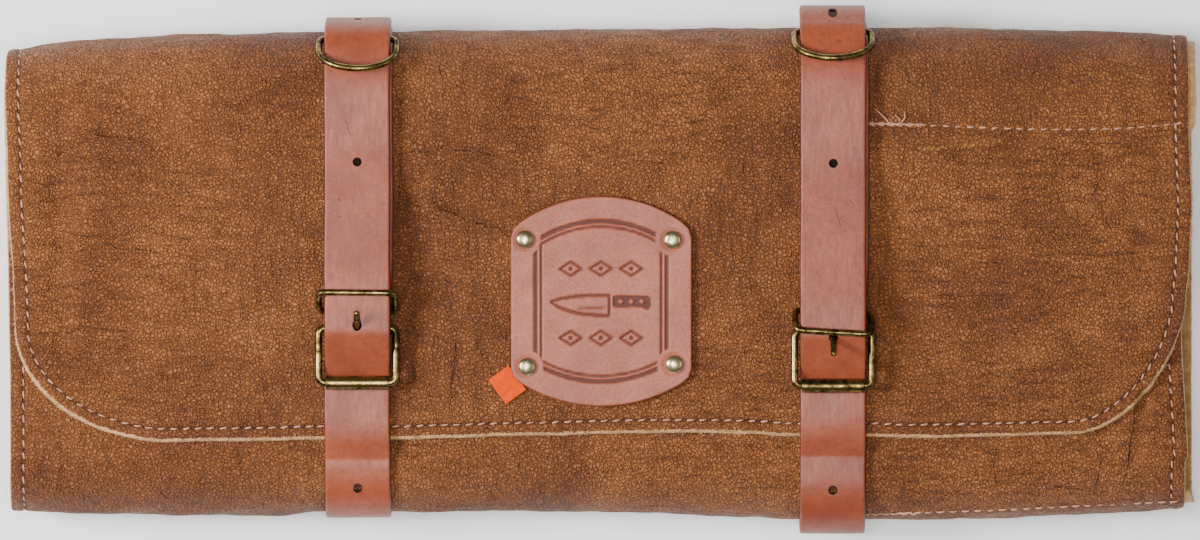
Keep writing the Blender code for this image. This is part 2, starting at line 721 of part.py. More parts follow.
def make_prong(side, parts, look):
    """A wire bent round the hinge bar, with a straight shank that comes up through the strap's hole."""
    radius = FRAME_WIRE / 2 + GAP + PRONG_WIRE / 2
    base, direction = prong_line(side)
    y, z = hinge_point(side)
    turn = PRONG_SIDE[side]
    start = math.radians(PRONG_LEAN_DEG[side]) + turn * math.pi / 2
    points = []
    steps = 12
    for step in range(steps):
        angle = start + turn * math.radians(mix(PRONG_EYE_DEG, 0, step / steps))
        points.append((STRAP_X[side], y + radius * math.cos(angle), z + radius * math.sin(angle)))
    points.append(base)
    points.append(base + direction * (PRONG_LENGTH[side] - PRONG_WIRE))
    points.append(base + direction * PRONG_LENGTH[side])
    prong = wire_object("buckle_prong_" + side, points, PRONG_WIRE / 2, False, look, parts)
    prong.data.splines[0].points[-1].radius = PRONG_TIP_SHARE
    return prong


def keeper_rise():
    """How high the keeper's upper bar lies over its lower bar, which is level with the hinge bar."""
    return OVER_HINGE_RADIUS + STRAP_HALF + STRAP_GAP + KEEPER_WIRE / 2


def keeper_head(side):
    return (KEEPER_TOP_Y[side] - HINGE_Y[side]) / math.cos(front_slope(side))


def keeper_foot(side):
    """The keeper's lower bar, held between the strap and its folded end, past the prong's eye."""
    lean = math.sqrt(max(KEEPER_HEIGHT**2 - keeper_rise() ** 2, 0.0))
    clear = FRAME_WIRE / 2 + GAP + PRONG_WIRE + GAP + KEEPER_WIRE / 2
    head = keeper_head(side)
    return max(head - lean if head > clear + lean else head + lean, clear)


def make_keeper(side, parts, look):
    """A wire loop with its lower bar in the strap's fold and its upper bar over the outer layer."""
    foot = keeper_foot(side)
    head = keeper_head(side)
    rise = keeper_rise()
    turn = math.radians(KEEPER_TURN_DEG[side])
    height = math.hypot(rise, head - foot)
    points = []
    for across, up in rounded_loop(KEEPER_WIDTH - KEEPER_WIRE, height, KEEPER_CORNER):
        share = up / height + 0.5
        along = mix(foot, head, share) + across * math.sin(turn)
        points.append((STRAP_X[side] + across, *from_hinge(side, along, rise * share)))
    return wire_object("buckle_keeper_" + side, points, KEEPER_WIRE / 2, True, look, parts)


def d_outline(steps=10):
    """A D: a straight bar at 0 with small corners, short legs and an elliptical bow."""
    half = (RING_WIDTH - RING_WIRE) / 2
    legs = RING_REACH - RING_BOW_REACH
    bow = [math.pi * step / steps for step in range(steps + 1)]
    corner = [math.radians(90 * step / 3) for step in range(4)]
    points = [(half * math.cos(angle), legs + RING_BOW_REACH * math.sin(angle)) for angle in bow]
    inner = half - RING_CORNER
    for angle in corner:
        points.append((-inner - RING_CORNER * math.cos(angle), RING_CORNER * (1 - math.sin(angle))))
    for angle in corner:
        points.append((inner + RING_CORNER * math.sin(angle), RING_CORNER * (1 - math.cos(angle))))
    return points


def make_ring(side, parts, look):
    sizes = roll_sizes(STRAP_X[side])
    y, z = on_turn(sizes, "top", ring_share(side, sizes), ring_outwards())
    steep = math.radians(RING_STEEPNESS_DEG[side])
    points = []
    for across, reach in d_outline():
        points.append((STRAP_X[side] + across, y - reach * math.cos(steep), z + reach * math.sin(steep)))
    return wire_object("d_ring_" + side, points, RING_WIRE / 2, True, look, parts)


# Patch, rivets and tab


def patch_frame():
    """The flap's face under the patch: its middle, and the turn that lays a flat piece on it."""
    sizes = roll_sizes(PATCH_CENTRE[0])
    low = on_front(sizes, PATCH_CENTRE[1] - PATCH_SIDE / 2, LAYER_PITCH)
    high = on_front(sizes, PATCH_CENTRE[1] + PATCH_SIDE / 2, LAYER_PITCH)
    slope = math.atan2(high[1] - low[1], high[0] - low[0])
    middle = Vector((PATCH_CENTRE[0], *on_front(sizes, PATCH_CENTRE[1], LAYER_PITCH)))
    return Matrix.Translation(middle) @ Matrix.Rotation(slope, 4, "X")


def bulge_points(width, bulge, side_y, steps):
    """Points along a shallow arc over a chord of the patch's width."""
    radius = ((width / 2) ** 2 + bulge**2) / (2 * bulge)
    half_angle = math.asin(width / 2 / radius)
    points = []
    for step in range(steps + 1):
        angle = mix(half_angle, -half_angle, step / steps)
        points.append((radius * math.sin(angle), side_y + radius * math.cos(angle) - radius + bulge))
    return points


def make_patch(parts, cutters, look):
    top = bulge_points(PATCH_WIDTH, PATCH_TOP_BULGE, PATCH_SIDE / 2, 12)
    bottom = [(-x, -y) for x, y in bulge_points(PATCH_WIDTH, PATCH_BOTTOM_BULGE, PATCH_SIDE / 2, 12)]
    outline = top + bottom
    curve = bpy.data.curves.new("patch_outline", "CURVE")
    curve.dimensions = "2D"
    curve.fill_mode = "BOTH"
    curve.extrude = PATCH_THICKNESS / 2
    spline = curve.splines.new("POLY")
    spline.points.add(len(outline) - 1)
    for target, (x, y) in zip(spline.points, outline):
        target.co = (x, y, 0.0, 1.0)
    spline.use_cyclic_u = True
    flat = bpy.data.objects.new("patch_outline", curve)
    parts.objects.link(flat)
    bpy.context.view_layer.update()
    mesh = bpy.data.meshes.new_from_object(flat.evaluated_get(bpy.context.evaluated_depsgraph_get()))
    bpy.data.objects.remove(flat, do_unlink=True)
    shape = bmesh.new()
    shape.from_mesh(mesh)
    bmesh.ops.remove_doubles(shape, verts=shape.verts, dist=0.00001)
    bmesh.ops.recalc_face_normals(shape, faces=shape.faces)
    shape.to_mesh(mesh)
    shape.free()
    mesh.name = "patch"
    patch = add_object("patch", mesh, look, parts)
    patch.matrix_world = patch_frame() @ Matrix.Translation((0, 0, GAP + PATCH_THICKNESS / 2))
    recess = (TAB_SIZE[0] + 2 * GAP, TAB_SIZE[1] + 2 * GAP, 2 * (GAP + TAB_THICKNESS + GAP))
    cutter = box_cutter("tab_recess", recess, (0, 0, 0), Matrix.Identity(3), cutters)
    cutter.matrix_world = tab_frame()
    cut(patch, [cutter])
    return patch


def tab_frame():
    """The tab's frame, set from the patch's lower left shoulder."""
    offset = (TAB_FROM_CORNER[0] - PATCH_WIDTH / 2, TAB_FROM_CORNER[1] - PATCH_SIDE / 2, 0)
    return patch_frame() @ Matrix.Translation(offset) @ Matrix.Rotation(math.radians(TAB_TURN_DEG), 4, "Z")


def make_tab(parts, look):
    mesh = bpy.data.meshes.new("tab")
    shape = bmesh.new()
    bmesh.ops.create_cube(shape, size=1.0)
    bmesh.ops.scale(shape, vec=(*TAB_SIZE, TAB_THICKNESS), verts=shape.verts)
    shape.to_mesh(mesh)
    shape.free()
    tab = add_object("tab", mesh, look, parts)
    tab.matrix_world = tab_frame() @ Matrix.Translation((0, 0, GAP + TAB_THICKNESS / 2))
    return tab


def make_rivets(parts, cutters, look, patch, roll):
    """Each rivet is one turned piece: a domed head, a shank through both leathers and a washer."""
    head = RIVET_HEAD / 2
    shank = RIVET_SHANK / 2
    washer = RIVET_WASHER_DIAMETER / 2
    above = GAP + PATCH_THICKNESS + GAP
    below = -LEATHER - GAP
    profile = []
    for angle in np.radians((0, 35, 65, 90)):
        rise = mix(math.cos(angle), 1.0, RIVET_RIM_SHARE)
        profile.append((head * math.sin(angle), above + RIVET_DOME * rise))
    profile += [(head, above), (shank, above), (shank, below), (washer, below)]
    profile += [(washer, below - RIVET_WASHER), (0.0, below - RIVET_WASHER)]
    for row in RIVETS:
        rivet = turned(row["name"], profile, False, 14, look, parts)
        place = Matrix.Translation((row["x"] * PATCH_WIDTH, row["y"] * PATCH_SIDE, 0))
        rivet.matrix_world = patch_frame() @ place
        centre = rivet.matrix_world.translation
        direction = rivet.matrix_world.to_3x3() @ Vector((0, 0, 1))
        length = 2 * (PATCH_THICKNESS + LEATHER)
        hole = cylinder_cutter(row["name"] + "_cut", shank + GAP, length, centre, direction, cutters)
        cut(patch, [hole])
        cut(roll, [hole])


def collection(name):
    made = bpy.data.collections.new(name)
    bpy.context.scene.collection.children.link(made)
    return made


def main():
    clear_scene()
    parts = collection("knife_roll")
    cutters = collection("cutters")
    roll_look = material("roll_leather", (0.235, 0.098, 0.040), 0.55)
    strap_look = material("strap_leather", (0.330, 0.110, 0.062), 0.45)
    patch_look = material("patch_leather", (0.300, 0.115, 0.080), 0.6)
    suede_look = material("pocket_leather", (0.520, 0.350, 0.210), 0.85)
    brass_look = material("antique_brass", (0.230, 0.165, 0.060), 0.35, 1.0)
    rivet_look = material("rivet_brass", (0.560, 0.480, 0.330), 0.3, 1.0)
    tab_look = material("orange_tab", (0.830, 0.170, 0.010), 0.7)

    roll = make_roll(parts, roll_look)
    make_pocket(parts, suede_look)
    for side in STRAP_X:
        make_strap(side, parts, cutters, strap_look)
        make_frame(side, parts, brass_look)
        make_roller(side, parts, brass_look)
        make_prong(side, parts, brass_look)
        make_keeper(side, parts, brass_look)
        make_ring(side, parts, brass_look)
    patch = make_patch(parts, cutters, patch_look)
    make_rivets(parts, cutters, rivet_look, patch, roll)
    make_tab(parts, tab_look)


main()
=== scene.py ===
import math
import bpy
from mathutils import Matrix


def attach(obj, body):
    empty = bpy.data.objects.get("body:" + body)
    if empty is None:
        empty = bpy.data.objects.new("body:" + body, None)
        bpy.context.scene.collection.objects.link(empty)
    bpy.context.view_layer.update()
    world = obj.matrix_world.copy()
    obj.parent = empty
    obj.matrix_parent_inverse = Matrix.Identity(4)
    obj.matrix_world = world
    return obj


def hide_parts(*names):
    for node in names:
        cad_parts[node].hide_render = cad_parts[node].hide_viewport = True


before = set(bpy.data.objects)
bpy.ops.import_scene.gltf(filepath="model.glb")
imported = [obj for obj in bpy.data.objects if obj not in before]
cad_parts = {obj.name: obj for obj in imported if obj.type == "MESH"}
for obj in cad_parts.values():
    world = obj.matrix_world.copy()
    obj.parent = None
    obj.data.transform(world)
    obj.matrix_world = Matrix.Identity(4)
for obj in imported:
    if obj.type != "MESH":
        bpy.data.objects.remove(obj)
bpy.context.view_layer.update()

# Looks of the leather knife roll: pebbled hide, buckled straps, antique brass and a riveted patch.
# Metres, +Z up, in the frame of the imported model. Each leather is a closed sheet worked out on a grid.

from types import SimpleNamespace

import bpy
import numpy as np

MM = 0.001

# Photograph: the camera looks straight down through a long lens
PIXEL = 0.00043
PICTURE_WIDTH = 1200
PICTURE_MIDDLE = (600.0, 268.5)
PICTURE_CENTRE_ROW = 270.0
SENSOR = 0.036
LENS = 0.400
FRONT_HEIGHT = 0.050

# The roll, with the same driving sizes as the solids
ROLL_LENGTH = 0.510
ROLL_DEPTH = 0.2085
ROLL_MIDDLE_Y = -0.0005
TOP_THICKNESS = 0.052
BOTTOM_THICKNESS = 0.043
END_FLATTENING = 0.05
LEATHER = 0.0022
LAYER_PITCH = 0.0046
GAP = 0.0003
POCKET_OVERHANG = 0.0028
LEFT_X = -(ROLL_LENGTH + POCKET_OVERHANG) / 2
RIGHT_X = LEFT_X + ROLL_LENGTH
FLAP_EDGE_RISE = 0.0027
FLAP_DROOP_RUN = 0.012
LEFT_CORNER = (0.0675, 0.0495, 2.0)
RIGHT_CORNER = (0.0477, 0.0579, 1.7)
INNER_TAIL_SHARE = 0.3

TOP_EDGE = (
    (0.0, 0.451), (0.033, 0.467), (0.1, 0.480), (0.165, 0.488), (0.34, 0.494),
    (0.54, 0.499), (0.775, 0.502), (0.876, 0.498), (0.944, 0.494), (1.0, 0.484),
)
BOTTOM_EDGE = (
    (0.0, -0.496), (0.067, -0.506), (0.181, -0.510), (0.336, -0.506), (0.438, -0.500), (0.539, -0.504),
    (0.64, -0.513), (0.758, -0.521), (0.842, -0.515), (0.944, -0.502), (1.0, -0.494),
)
FLAP_EDGE = (
    (0.0, -0.358), (0.141, -0.358), (0.367, -0.350), (0.535, -0.339),
    (0.631, -0.340), (0.741, -0.350), (0.868, -0.344), (1.0, -0.341),
)
FLAP_LEFT = ((-0.12, 0.0088), (0.0, 0.0063), (0.14, 0.0030), (0.24, 0.0022), (0.35, 0.0004), (0.43, 0.0))
FLAP_RIGHT = ((-0.06, 0.0025), (-0.02, 0.0), (0.14, -0.0025), (0.28, 0.0), (0.48, 0.0))
PANEL_LEFT = ((-0.5, 0.0042), (-0.19, 0.0042), (0.14, 0.0020), (0.42, -0.0004))
PANEL_RIGHT = ((-0.5, 0.0025), (-0.4, 0.0), (-0.28, 0.0025), (-0.14, 0.0059), (0.4, 0.0059))

# Pocket panel
POCKET_THICKNESS = 0.0016
POCKET_WIDTH = 0.1460
POCKET_FRONT_SHARE = 0.28
POCKET_BOTTOM_SHARE = 0.75

# Straps and buckles
STRAP_WIDTH = 0.0284
STRAP_THICKNESS = 0.0026
STRAP_X = {"left": -0.1043, "right": 0.1002}
STRAP_GAP = 0.00035
STRAP_BED_MARGIN = 0.0045
STRAP_SHOULDER = 0.0145
STRAP_UNDER_SHIFT = 0.0012
STRAP_TIP_SHARE = 0.76
BOTTOM_PINCH = {"left": 0.0012, "right": 0.0}
BOTTOM_SLACK = {"left": 0.0, "right": 0.0036}
TOP_SLACK = {"left": 0.0006, "right": 0.0040}
HOLE_DIAMETER = 0.0036
HOLE_PITCH = 0.072
HINGE_Y = {"left": -0.0256, "right": -0.0269}
FRAME_WIRE = 0.0032
FRAME_WIDTH = 0.0364
FRAME_REACH = 0.0235
FRAME_CORNER = 0.0028
ROLLER_DIAMETER = 0.006
ROLLER_LENGTH = 0.027
ROLLER_CLEARANCE = 0.0004
PRONG_WIRE = 0.0028
PRONG_LENGTH = {"left": 0.0170, "right": 0.0172}
PRONG_LEAN_DEG = {"left": 55.0, "right": 138.0}
PRONG_SIDE = {"left": 1.0, "right": -1.0}
PRONG_HOLE_CLEARANCE = 0.0006
SLOT_LENGTH = 0.016
SLOT_SHIFT = 0.0015
SLOT_SIDE_CLEARANCE = 0.0005
KEEPER_WIRE = 0.0028
KEEPER_WIDTH = 0.0354
KEEPER_HEIGHT = 0.0126
KEEPER_CORNER = 0.0028
KEEPER_TOP_Y = {"left": -0.0101, "right": -0.0271}
KEEPER_TURN_DEG = {"left": -0.6, "right": -3.4}
FOLD_LENGTH = 0.014
FOLD_CLEARANCE = 0.0005
RAMP_RUN = 0.0150
OUTER_RAMP_RUN = 0.0600
RING_WIRE = 0.0029
RING_WIDTH = 0.0359
RING_REACH = 0.0203
RING_BOW_REACH = 0.0123
RING_CORNER = 0.0030
RING_BAR_INSET = {"left": 0.0035, "right": 0.0019}
RING_STEEPNESS_DEG = {"left": 51.0, "right": 55.0}
RING_BUMP_SHARE = 0.11

# Patch, rivets and tab
PATCH_WIDTH = 0.078
PATCH_SIDE = 0.0636
PATCH_TOP_BULGE = 0.0142
PATCH_BOTTOM_BULGE = 0.0127
PATCH_THICKNESS = 0.002
PATCH_CENTRE = (0.0006, -0.0148)
RIVETS = {
    "rivet_top_left": (-0.423, 0.430),
    "rivet_top_right": (0.391, 0.428),
    "rivet_bottom_left": (-0.408, -0.430),
    "rivet_bottom_right": (0.401, -0.414),
}
RIVET_HEAD = 0.0078
RIVET_DOME = 0.0019
TAB_SIZE = (0.0108, 0.0130)
TAB_THICKNESS = 0.0008
TAB_CENTRE = (-0.0398, -0.0500)
TAB_TURN_DEG = 36.0

# Sewing
SEAM_INSET = 0.006
STITCH_PITCH = 0.0053
STITCH_LENGTH = 0.0036
THREAD = 0.00085

STRAP_HALF = STRAP_THICKNESS / 2
UNDER_HEIGHT = STRAP_GAP + STRAP_HALF
OVER_HEIGHT = UNDER_HEIGHT + STRAP_THICKNESS + STRAP_GAP
BED_HALF = STRAP_WIDTH / 2 + STRAP_BED_MARGIN
BACK_LIFT = STRAP_THICKNESS + STRAP_GAP
FOLD_RADIUS = FRAME_WIRE / 2 + FOLD_CLEARANCE + STRAP_HALF
HINGE_HEIGHT = UNDER_HEIGHT + FOLD_RADIUS
FOLD_TOP_HEIGHT = HINGE_HEIGHT + FOLD_RADIUS
OVER_HINGE_RADIUS = FOLD_RADIUS + STRAP_THICKNESS + STRAP_GAP
ROLLER_HEIGHT = UNDER_HEIGHT + STRAP_HALF + STRAP_GAP + ROLLER_DIAMETER / 2
UNDER_ROLLER_RADIUS = ROLLER_HEIGHT - UNDER_HEIGHT
FRAME_BAR_REACH = math.sqrt(FRAME_REACH**2 - (ROLLER_HEIGHT - HINGE_HEIGHT) ** 2)


# Small numeric helpers


def mix(first, second, share):
    return first + (second - first) * share


def ease(value):
    """0 to 1 with a level start and end: 3 v^2 - 2 v^3."""
    value = np.clip(value, 0.0, 1.0)
    return value * value * (3 - 2 * value)


def read(table, share):
    """A table read by straight lines, softened as the mean of five readings close together."""
    at, value = np.array(table).T
    near = [np.interp(share + step, at, value) for step in (-0.02, -0.01, 0.0, 0.01, 0.02)]
    return np.mean(near, axis=0)


def unit(vectors):
    return vectors / np.maximum(np.linalg.norm(vectors, axis=-1, keepdims=True), 1e-12)


def distance_along(path):
    """Distance from a path's start to each of its points."""
    return np.concatenate([[0.0], np.cumsum(np.linalg.norm(np.diff(path, axis=0), axis=1))])


def read_along(wanted, along, values):
    """Rows of values that belong to distances along a path, read at the wanted distances."""
    return np.column_stack([np.interp(wanted, along, column) for column in values.T])


def tilted(slope):
    """The matrix that turns by a slope about the x axis."""
    cosine, sine = math.cos(slope), math.sin(slope)
    return np.array([[1, 0, 0], [0, cosine, -sine], [0, sine, cosine]])


def waves(first, second, seed, shortest, longest, count=14):
    """Soft unevenness from -1 to 1: the mean of plane sine waves with seeded directions and phases."""
    dice = np.random.default_rng(seed)
    turn = dice.uniform(0, 2 * math.pi, count)
    phase = dice.uniform(0, 2 * math.pi, count)
    length = dice.uniform(shortest, longest, count)
    total = 0.0
    for number in range(count):
        along = first * math.cos(turn[number]) + second * math.sin(turn[number])
        total = total + np.sin(2 * math.pi * along / length[number] + phase[number])
    return total / math.sqrt(count)


def at_pixel(column, row):
    """The place on the front, seen from above, of a pixel of the photograph."""
    return (column - PICTURE_MIDDLE[0]) * PIXEL, (PICTURE_MIDDLE[1] - row) * PIXEL


# The roll's form, as whole arrays


def bed(x):
    """1 under a strap, falling to 0 past the soft shoulders beside it, with that strap's x."""
    left, right = STRAP_X["left"], STRAP_X["right"]
    near = np.where(np.abs(x - left) < np.abs(x - right), left, right)
    return 1 - ease((np.abs(x - near) - BED_HALF) / STRAP_SHOULDER), near


def roll_sizes(x):
    """The roll's edges, thicknesses and lift off the floor at x, kept level right under a strap."""
    x = np.asarray(x, float)
    weight, near = bed(x)
    share = (mix(x, near, weight) - LEFT_X) / ROLL_LENGTH
    flat = 1 - END_FLATTENING * np.abs(2 * share - 1) ** 3
    pinch = np.where(near < 0, BOTTOM_PINCH["left"], BOTTOM_PINCH["right"]) * weight
    return SimpleNamespace(
        top=ROLL_MIDDLE_Y + read(TOP_EDGE, share) * ROLL_DEPTH,
        bottom=ROLL_MIDDLE_Y + read(BOTTOM_EDGE, share) * ROLL_DEPTH + pinch,
        edge=ROLL_MIDDLE_Y + read(FLAP_EDGE, share) * ROLL_DEPTH,
        high=TOP_THICKNESS * flat,
        low=BOTTOM_THICKNESS * flat,
        lift=BACK_LIFT * weight,
    )


def raised(sizes, y, z):
    """The point lifted as the floor side is where a strap runs beneath it."""
    return np.broadcast_arrays(y, z + sizes.lift * (1 - np.clip(z / sizes.high, 0.0, 1.0)))


def front_y(sizes, share):
    return mix(sizes.bottom + sizes.low / 2, sizes.top - sizes.high / 2, share)


def on_front(sizes, y, height):
    """A point that lies height above the panel under the flap."""
    share = (y - front_y(sizes, 0)) / (front_y(sizes, 1) - front_y(sizes, 0))
    return raised(sizes, y, mix(sizes.low, sizes.high - LAYER_PITCH, share) + height)


def on_turn(sizes, which, share, outwards):
    """Round the upper turn from front to back, or round the lower turn from back to front."""
    if which == "top":
        radius, middle, start = sizes.high / 2, sizes.top - sizes.high / 2, 90
    else:
        radius, middle, start = sizes.low / 2, sizes.bottom + sizes.low / 2, -90
    angle = np.radians(start - 180 * share)
    reach = radius + outwards
    return raised(sizes, middle + reach * np.cos(angle), radius + reach * np.sin(angle))


def on_back(sizes, share, outwards):
    return raised(sizes, mix(front_y(sizes, 1), front_y(sizes, 0), share), -outwards)


def flap_rise(distance):
    """Height of the flap's grain over the panel: it droops to its edge as (1 - distance / run)^2."""
    droop = (1 - np.clip(distance / FLAP_DROOP_RUN, 0.0, 1.0)) ** 2
    return LAYER_PITCH - (LAYER_PITCH - FLAP_EDGE_RISE) * droop


# Relief of the front: creases, soft hollows and ridges

CREASES = (
    {"from": (60, 245), "to": (118, 241), "half": 2.2, "deep": 0.55},
    {"from": (112, 241), "to": (170, 248), "half": 2.0, "deep": 0.45},
    {"from": (62, 150), "to": (105, 128), "half": 2.4, "deep": 0.50},
    {"from": (100, 130), "to": (152, 136), "half": 2.4, "deep": 0.40},
    {"from": (400, 148), "to": (452, 141), "half": 2.6, "deep": 0.55},
    {"from": (448, 142), "to": (505, 150), "half": 2.6, "deep": 0.45},
    {"from": (438, 198), "to": (515, 228), "half": 2.6, "deep": 0.60},
    {"from": (462, 325), "to": (458, 400), "half": 3.0, "deep": 0.55},
    {"from": (1144, 395), "to": (1133, 482), "half": 2.6, "deep": 0.80},
    {"from": (1108, 452), "to": (1102, 492), "half": 2.0, "deep": 0.45},
    {"from": (1070, 455), "to": (1076, 492), "half": 2.0, "deep": 0.40},
    {"from": (1045, 478), "to": (1098, 484), "half": 2.4, "deep": 0.45},
    {"from": (1000, 456), "to": (1004, 490), "half": 2.2, "deep": 0.35},
    {"from": (960, 150), "to": (1160, 158), "half": 3.4, "deep": 0.40},
    {"from": (700, 120), "to": (770, 60), "half": 3.5, "deep": 0.35},
    {"from": (895, 250), "to": (960, 300), "half": 3.2, "deep": 0.35},
    {"from": (1100, 150), "to": (1106, 215), "half": 3.0, "deep": 0.45},
    {"from": (60, 430), "to": (90, 500), "half": 2.6, "deep": 0.45},
    {"from": (120, 462), "to": (240, 470), "half": 3.2, "deep": 0.30},
    {"from": (560, 470), "to": (700, 462), "half": 3.4, "deep": 0.35},
)
HOLLOWS = (
    {"at": (60, 205), "half": (6.0, 56.0), "deep": 2.60},
    {"at": (92, 215), "half": (11.0, 44.0), "deep": -0.80},
    {"at": (110, 402), "half": (16.0, 9.0), "deep": 1.10},
    {"at": (60, 350), "half": (6.0, 18.0), "deep": 1.10},
    {"at": (1140, 300), "half": (9.0, 44.0), "deep": 1.00},
    {"at": (1090, 390), "half": (20.0, 8.0), "deep": 0.80},
    {"at": (400, 190), "half": (7.0, 50.0), "deep": 0.80},
    {"at": (318, 250), "half": (6.0, 60.0), "deep": 0.50},
    {"at": (792, 200), "half": (6.0, 60.0), "deep": 0.70},
    {"at": (884, 290), "half": (6.0, 50.0), "deep": 0.60},
    {"at": (452, 175), "half": (22.0, 16.0), "deep": 0.50},
    {"at": (690, 150), "half": (30.0, 30.0), "deep": -0.40},
    {"at": (960, 240), "half": (30.0, 24.0), "deep": 0.40},
    {"at": (220, 300), "half": (30.0, 34.0), "deep": -0.35},
    {"at": (1000, 380), "half": (30.0, 14.0), "deep": -0.35},
)
POCKET_SEAM = ((866, 124.0), (928, 124.5), (976, 128.0), (1072, 130.0), (1130, 127.0), (1184, 123.0))
LOWER_SEAM = ((862, 514.0), (930, 513.0), (1006, 510.0), (1073, 507.0), (1184, 502.0))


def away_from(x, y, start, end):
    """Distance of each point from the straight line between two places."""
    line = np.subtract(end, start)
    share = np.clip(((x - start[0]) * line[0] + (y - start[1]) * line[1]) / (line @ line), 0.0, 1.0)
    return np.hypot(x - start[0] - share * line[0], y - start[1] - share * line[1])


def seam_y(x, seam):
    """The y of a sewn line at x, and 1 where the line runs, falling to 0 past its ends."""
    xs, ys = np.array([at_pixel(*point) for point in seam]).T
    inside = ease((x - xs[0]) / 0.003) * ease((xs[-1] - x) / 0.003)
    return np.interp(x, xs, ys), inside


def front_relief(x, y):
    """Height added to the front: creases as exp(-(d / half)^2), hollows as a product of two such bells,
    a pressed line along the pocket's seam with a ridge below it, and slow waves. It dies out under the
    straps and the patch."""
    height = 0.50 * MM * waves(x, y, 3, 0.030, 0.085) + 0.17 * MM * waves(x, y, 5, 0.009, 0.022, 30)
    for crease in CREASES:
        apart = away_from(x, y, at_pixel(*crease["from"]), at_pixel(*crease["to"]))
        half = crease["half"] * MM
        height = height - 1.5 * crease["deep"] * MM * np.exp(-((apart / (0.8 * half)) ** 2))
        height = height + 0.7 * crease["deep"] * MM * np.exp(-(((apart - 1.9 * half) / half) ** 2))
    for hollow in HOLLOWS:
        middle = at_pixel(*hollow["at"])
        across = (x - middle[0]) / (hollow["half"][0] * MM)
        along = (y - middle[1]) / (hollow["half"][1] * MM)
        height = height - hollow["deep"] * MM * np.exp(-(across**2) - along**2)
    line, inside = seam_y(x, POCKET_SEAM)
    below = line - y
    height = height - 0.90 * MM * inside * np.exp(-((below / (1.6 * MM)) ** 2))
    height = height + 1.00 * MM * inside * np.exp(-(((below - 6.0 * MM) / (4.2 * MM)) ** 2))
    quiet = 1 - bed(x)[0]
    beside = np.maximum(np.abs(x - PATCH_CENTRE[0]) - PATCH_WIDTH / 2, 0.0)
    beyond = np.maximum(np.abs(y - PATCH_CENTRE[1]) - PATCH_SIDE / 2 - PATCH_TOP_BULGE, 0.0)
    return height * quiet * ease(np.hypot(beside, beyond) / 0.012)


# Sheets of leather

RIM_OFFSETS = (0, 0.25, 0.6, 1.0, 1.5, 2.2, 3.2, 4.2, 5.0, 5.5, 6.0, 6.5, 7.0, 8.0, 9.5, 11.5, 14.0)
RIM_OFFSETS = np.array(RIM_OFFSETS) * MM
SEAM_RIM = int(np.argmin(np.abs(RIM_OFFSETS - SEAM_INSET)))
SIDE_STEPS = 88
EDGE_STEPS = 226
TAIL_ROWS = 6
INNER_TURN_ROWS = 8
CUT_ROUNDING = 0.0020
SIDE_BAND = 0.55 * MM
LOWER_BAND = 1.9 * MM
CORNER_POINTS = 120
SIDE_POINTS = 100


def faces_of(index):
    """Four-cornered faces between neighbours of a grid of point numbers."""
    corners = (index[:-1, :-1], index[:-1, 1:], index[1:, 1:], index[1:, :-1])
    return np.stack(corners, axis=-1).reshape(-1, 4)


def point_normals(points, faces):
    """Each point's normal: the sum of the cross products of the diagonals of the faces round it."""
    corner = points[faces]
    across = np.cross(corner[:, 2] - corner[:, 0], corner[:, 3] - corner[:, 1])
    total = np.zeros_like(points)
    for place in range(4):
        np.add.at(total, faces[:, place], across)
    return unit(total)


def close_sheet(points, faces, edge, thickness, rounding, relief=0.0):
    """A closed sheet from its grain side. With c = sqrt(1 - (1 - edge / rounding)^2), the grain lies
    thickness (1 - c) / 2 below the given surface and the flesh thickness (1 + c) / 2 below it, so the
    two meet in a rounded cut edge. Returns points, faces, edge distance and 1 for the flesh side."""
    normals = point_normals(points, faces)
    full = np.sqrt(1 - (1 - np.clip(edge / rounding, 0.0, 1.0)) ** 2)
    relief = np.broadcast_to(relief, edge.shape)
    grain = points + normals * (relief - thickness / 2 * (1 - full))[:, None]
    flesh = points + normals * (relief * 0.7 - thickness / 2 * (1 + full))[:, None]
    inner = edge > 1e-9
    flesh_number = np.arange(len(points))
    flesh_number[inner] = len(points) + np.arange(inner.sum())
    everything = np.concatenate([grain, flesh[inner]])
    both = np.concatenate([faces, flesh_number[faces][:, ::-1]])
    edges = np.concatenate([edge, edge[inner]])
    side = np.concatenate([np.zeros(len(points)), np.ones(inner.sum())])
    return everything, both, edges, side, grain, normals


def volume_sign(points, faces):
    """Positive where the faces of a closed mesh point outwards."""
    corner = points[faces]
    first = np.einsum("ij,ij->i", corner[:, 0], np.cross(corner[:, 1], corner[:, 2])).sum()
    if faces.shape[1] == 3:
        return first
    return first + np.einsum("ij,ij->i", corner[:, 0], np.cross(corner[:, 2], corner[:, 3])).sum()


def add_piece(name, points, faces, material, body="root", replaces=(), marks=None, uv=None):
    """A mesh object from whole arrays, riding on its body. Faces are rows of corners, -1 for none."""
    mesh = bpy.data.meshes.new(name)
    filled = [face[face >= 0] if -1 in face else face for face in faces] if (faces < 0).any() else faces
    mesh.from_pydata(points.tolist(), [], [list(map(int, face)) for face in filled])
    for label, values in (marks or {}).items():
        layer = mesh.attributes.new(label, "FLOAT", "POINT")
        layer.data.foreach_set("value", np.ascontiguousarray(values, np.float32))
    if uv is not None:
        corners = np.empty(len(mesh.loops), np.int32)
        mesh.loops.foreach_get("vertex_index", corners)
        layer = mesh.uv_layers.new(name="thread")
        layer.data.foreach_set("uv", np.ascontiguousarray(uv[corners], np.float32).ravel())
    mesh.validate()
    mesh.shade_smooth()
    mesh.materials.append(material)
    piece = bpy.data.objects.new(name, mesh)
    bpy.context.scene.collection.objects.link(piece)
    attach(piece, body)
    if replaces:
        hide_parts(*replaces)
    return piece


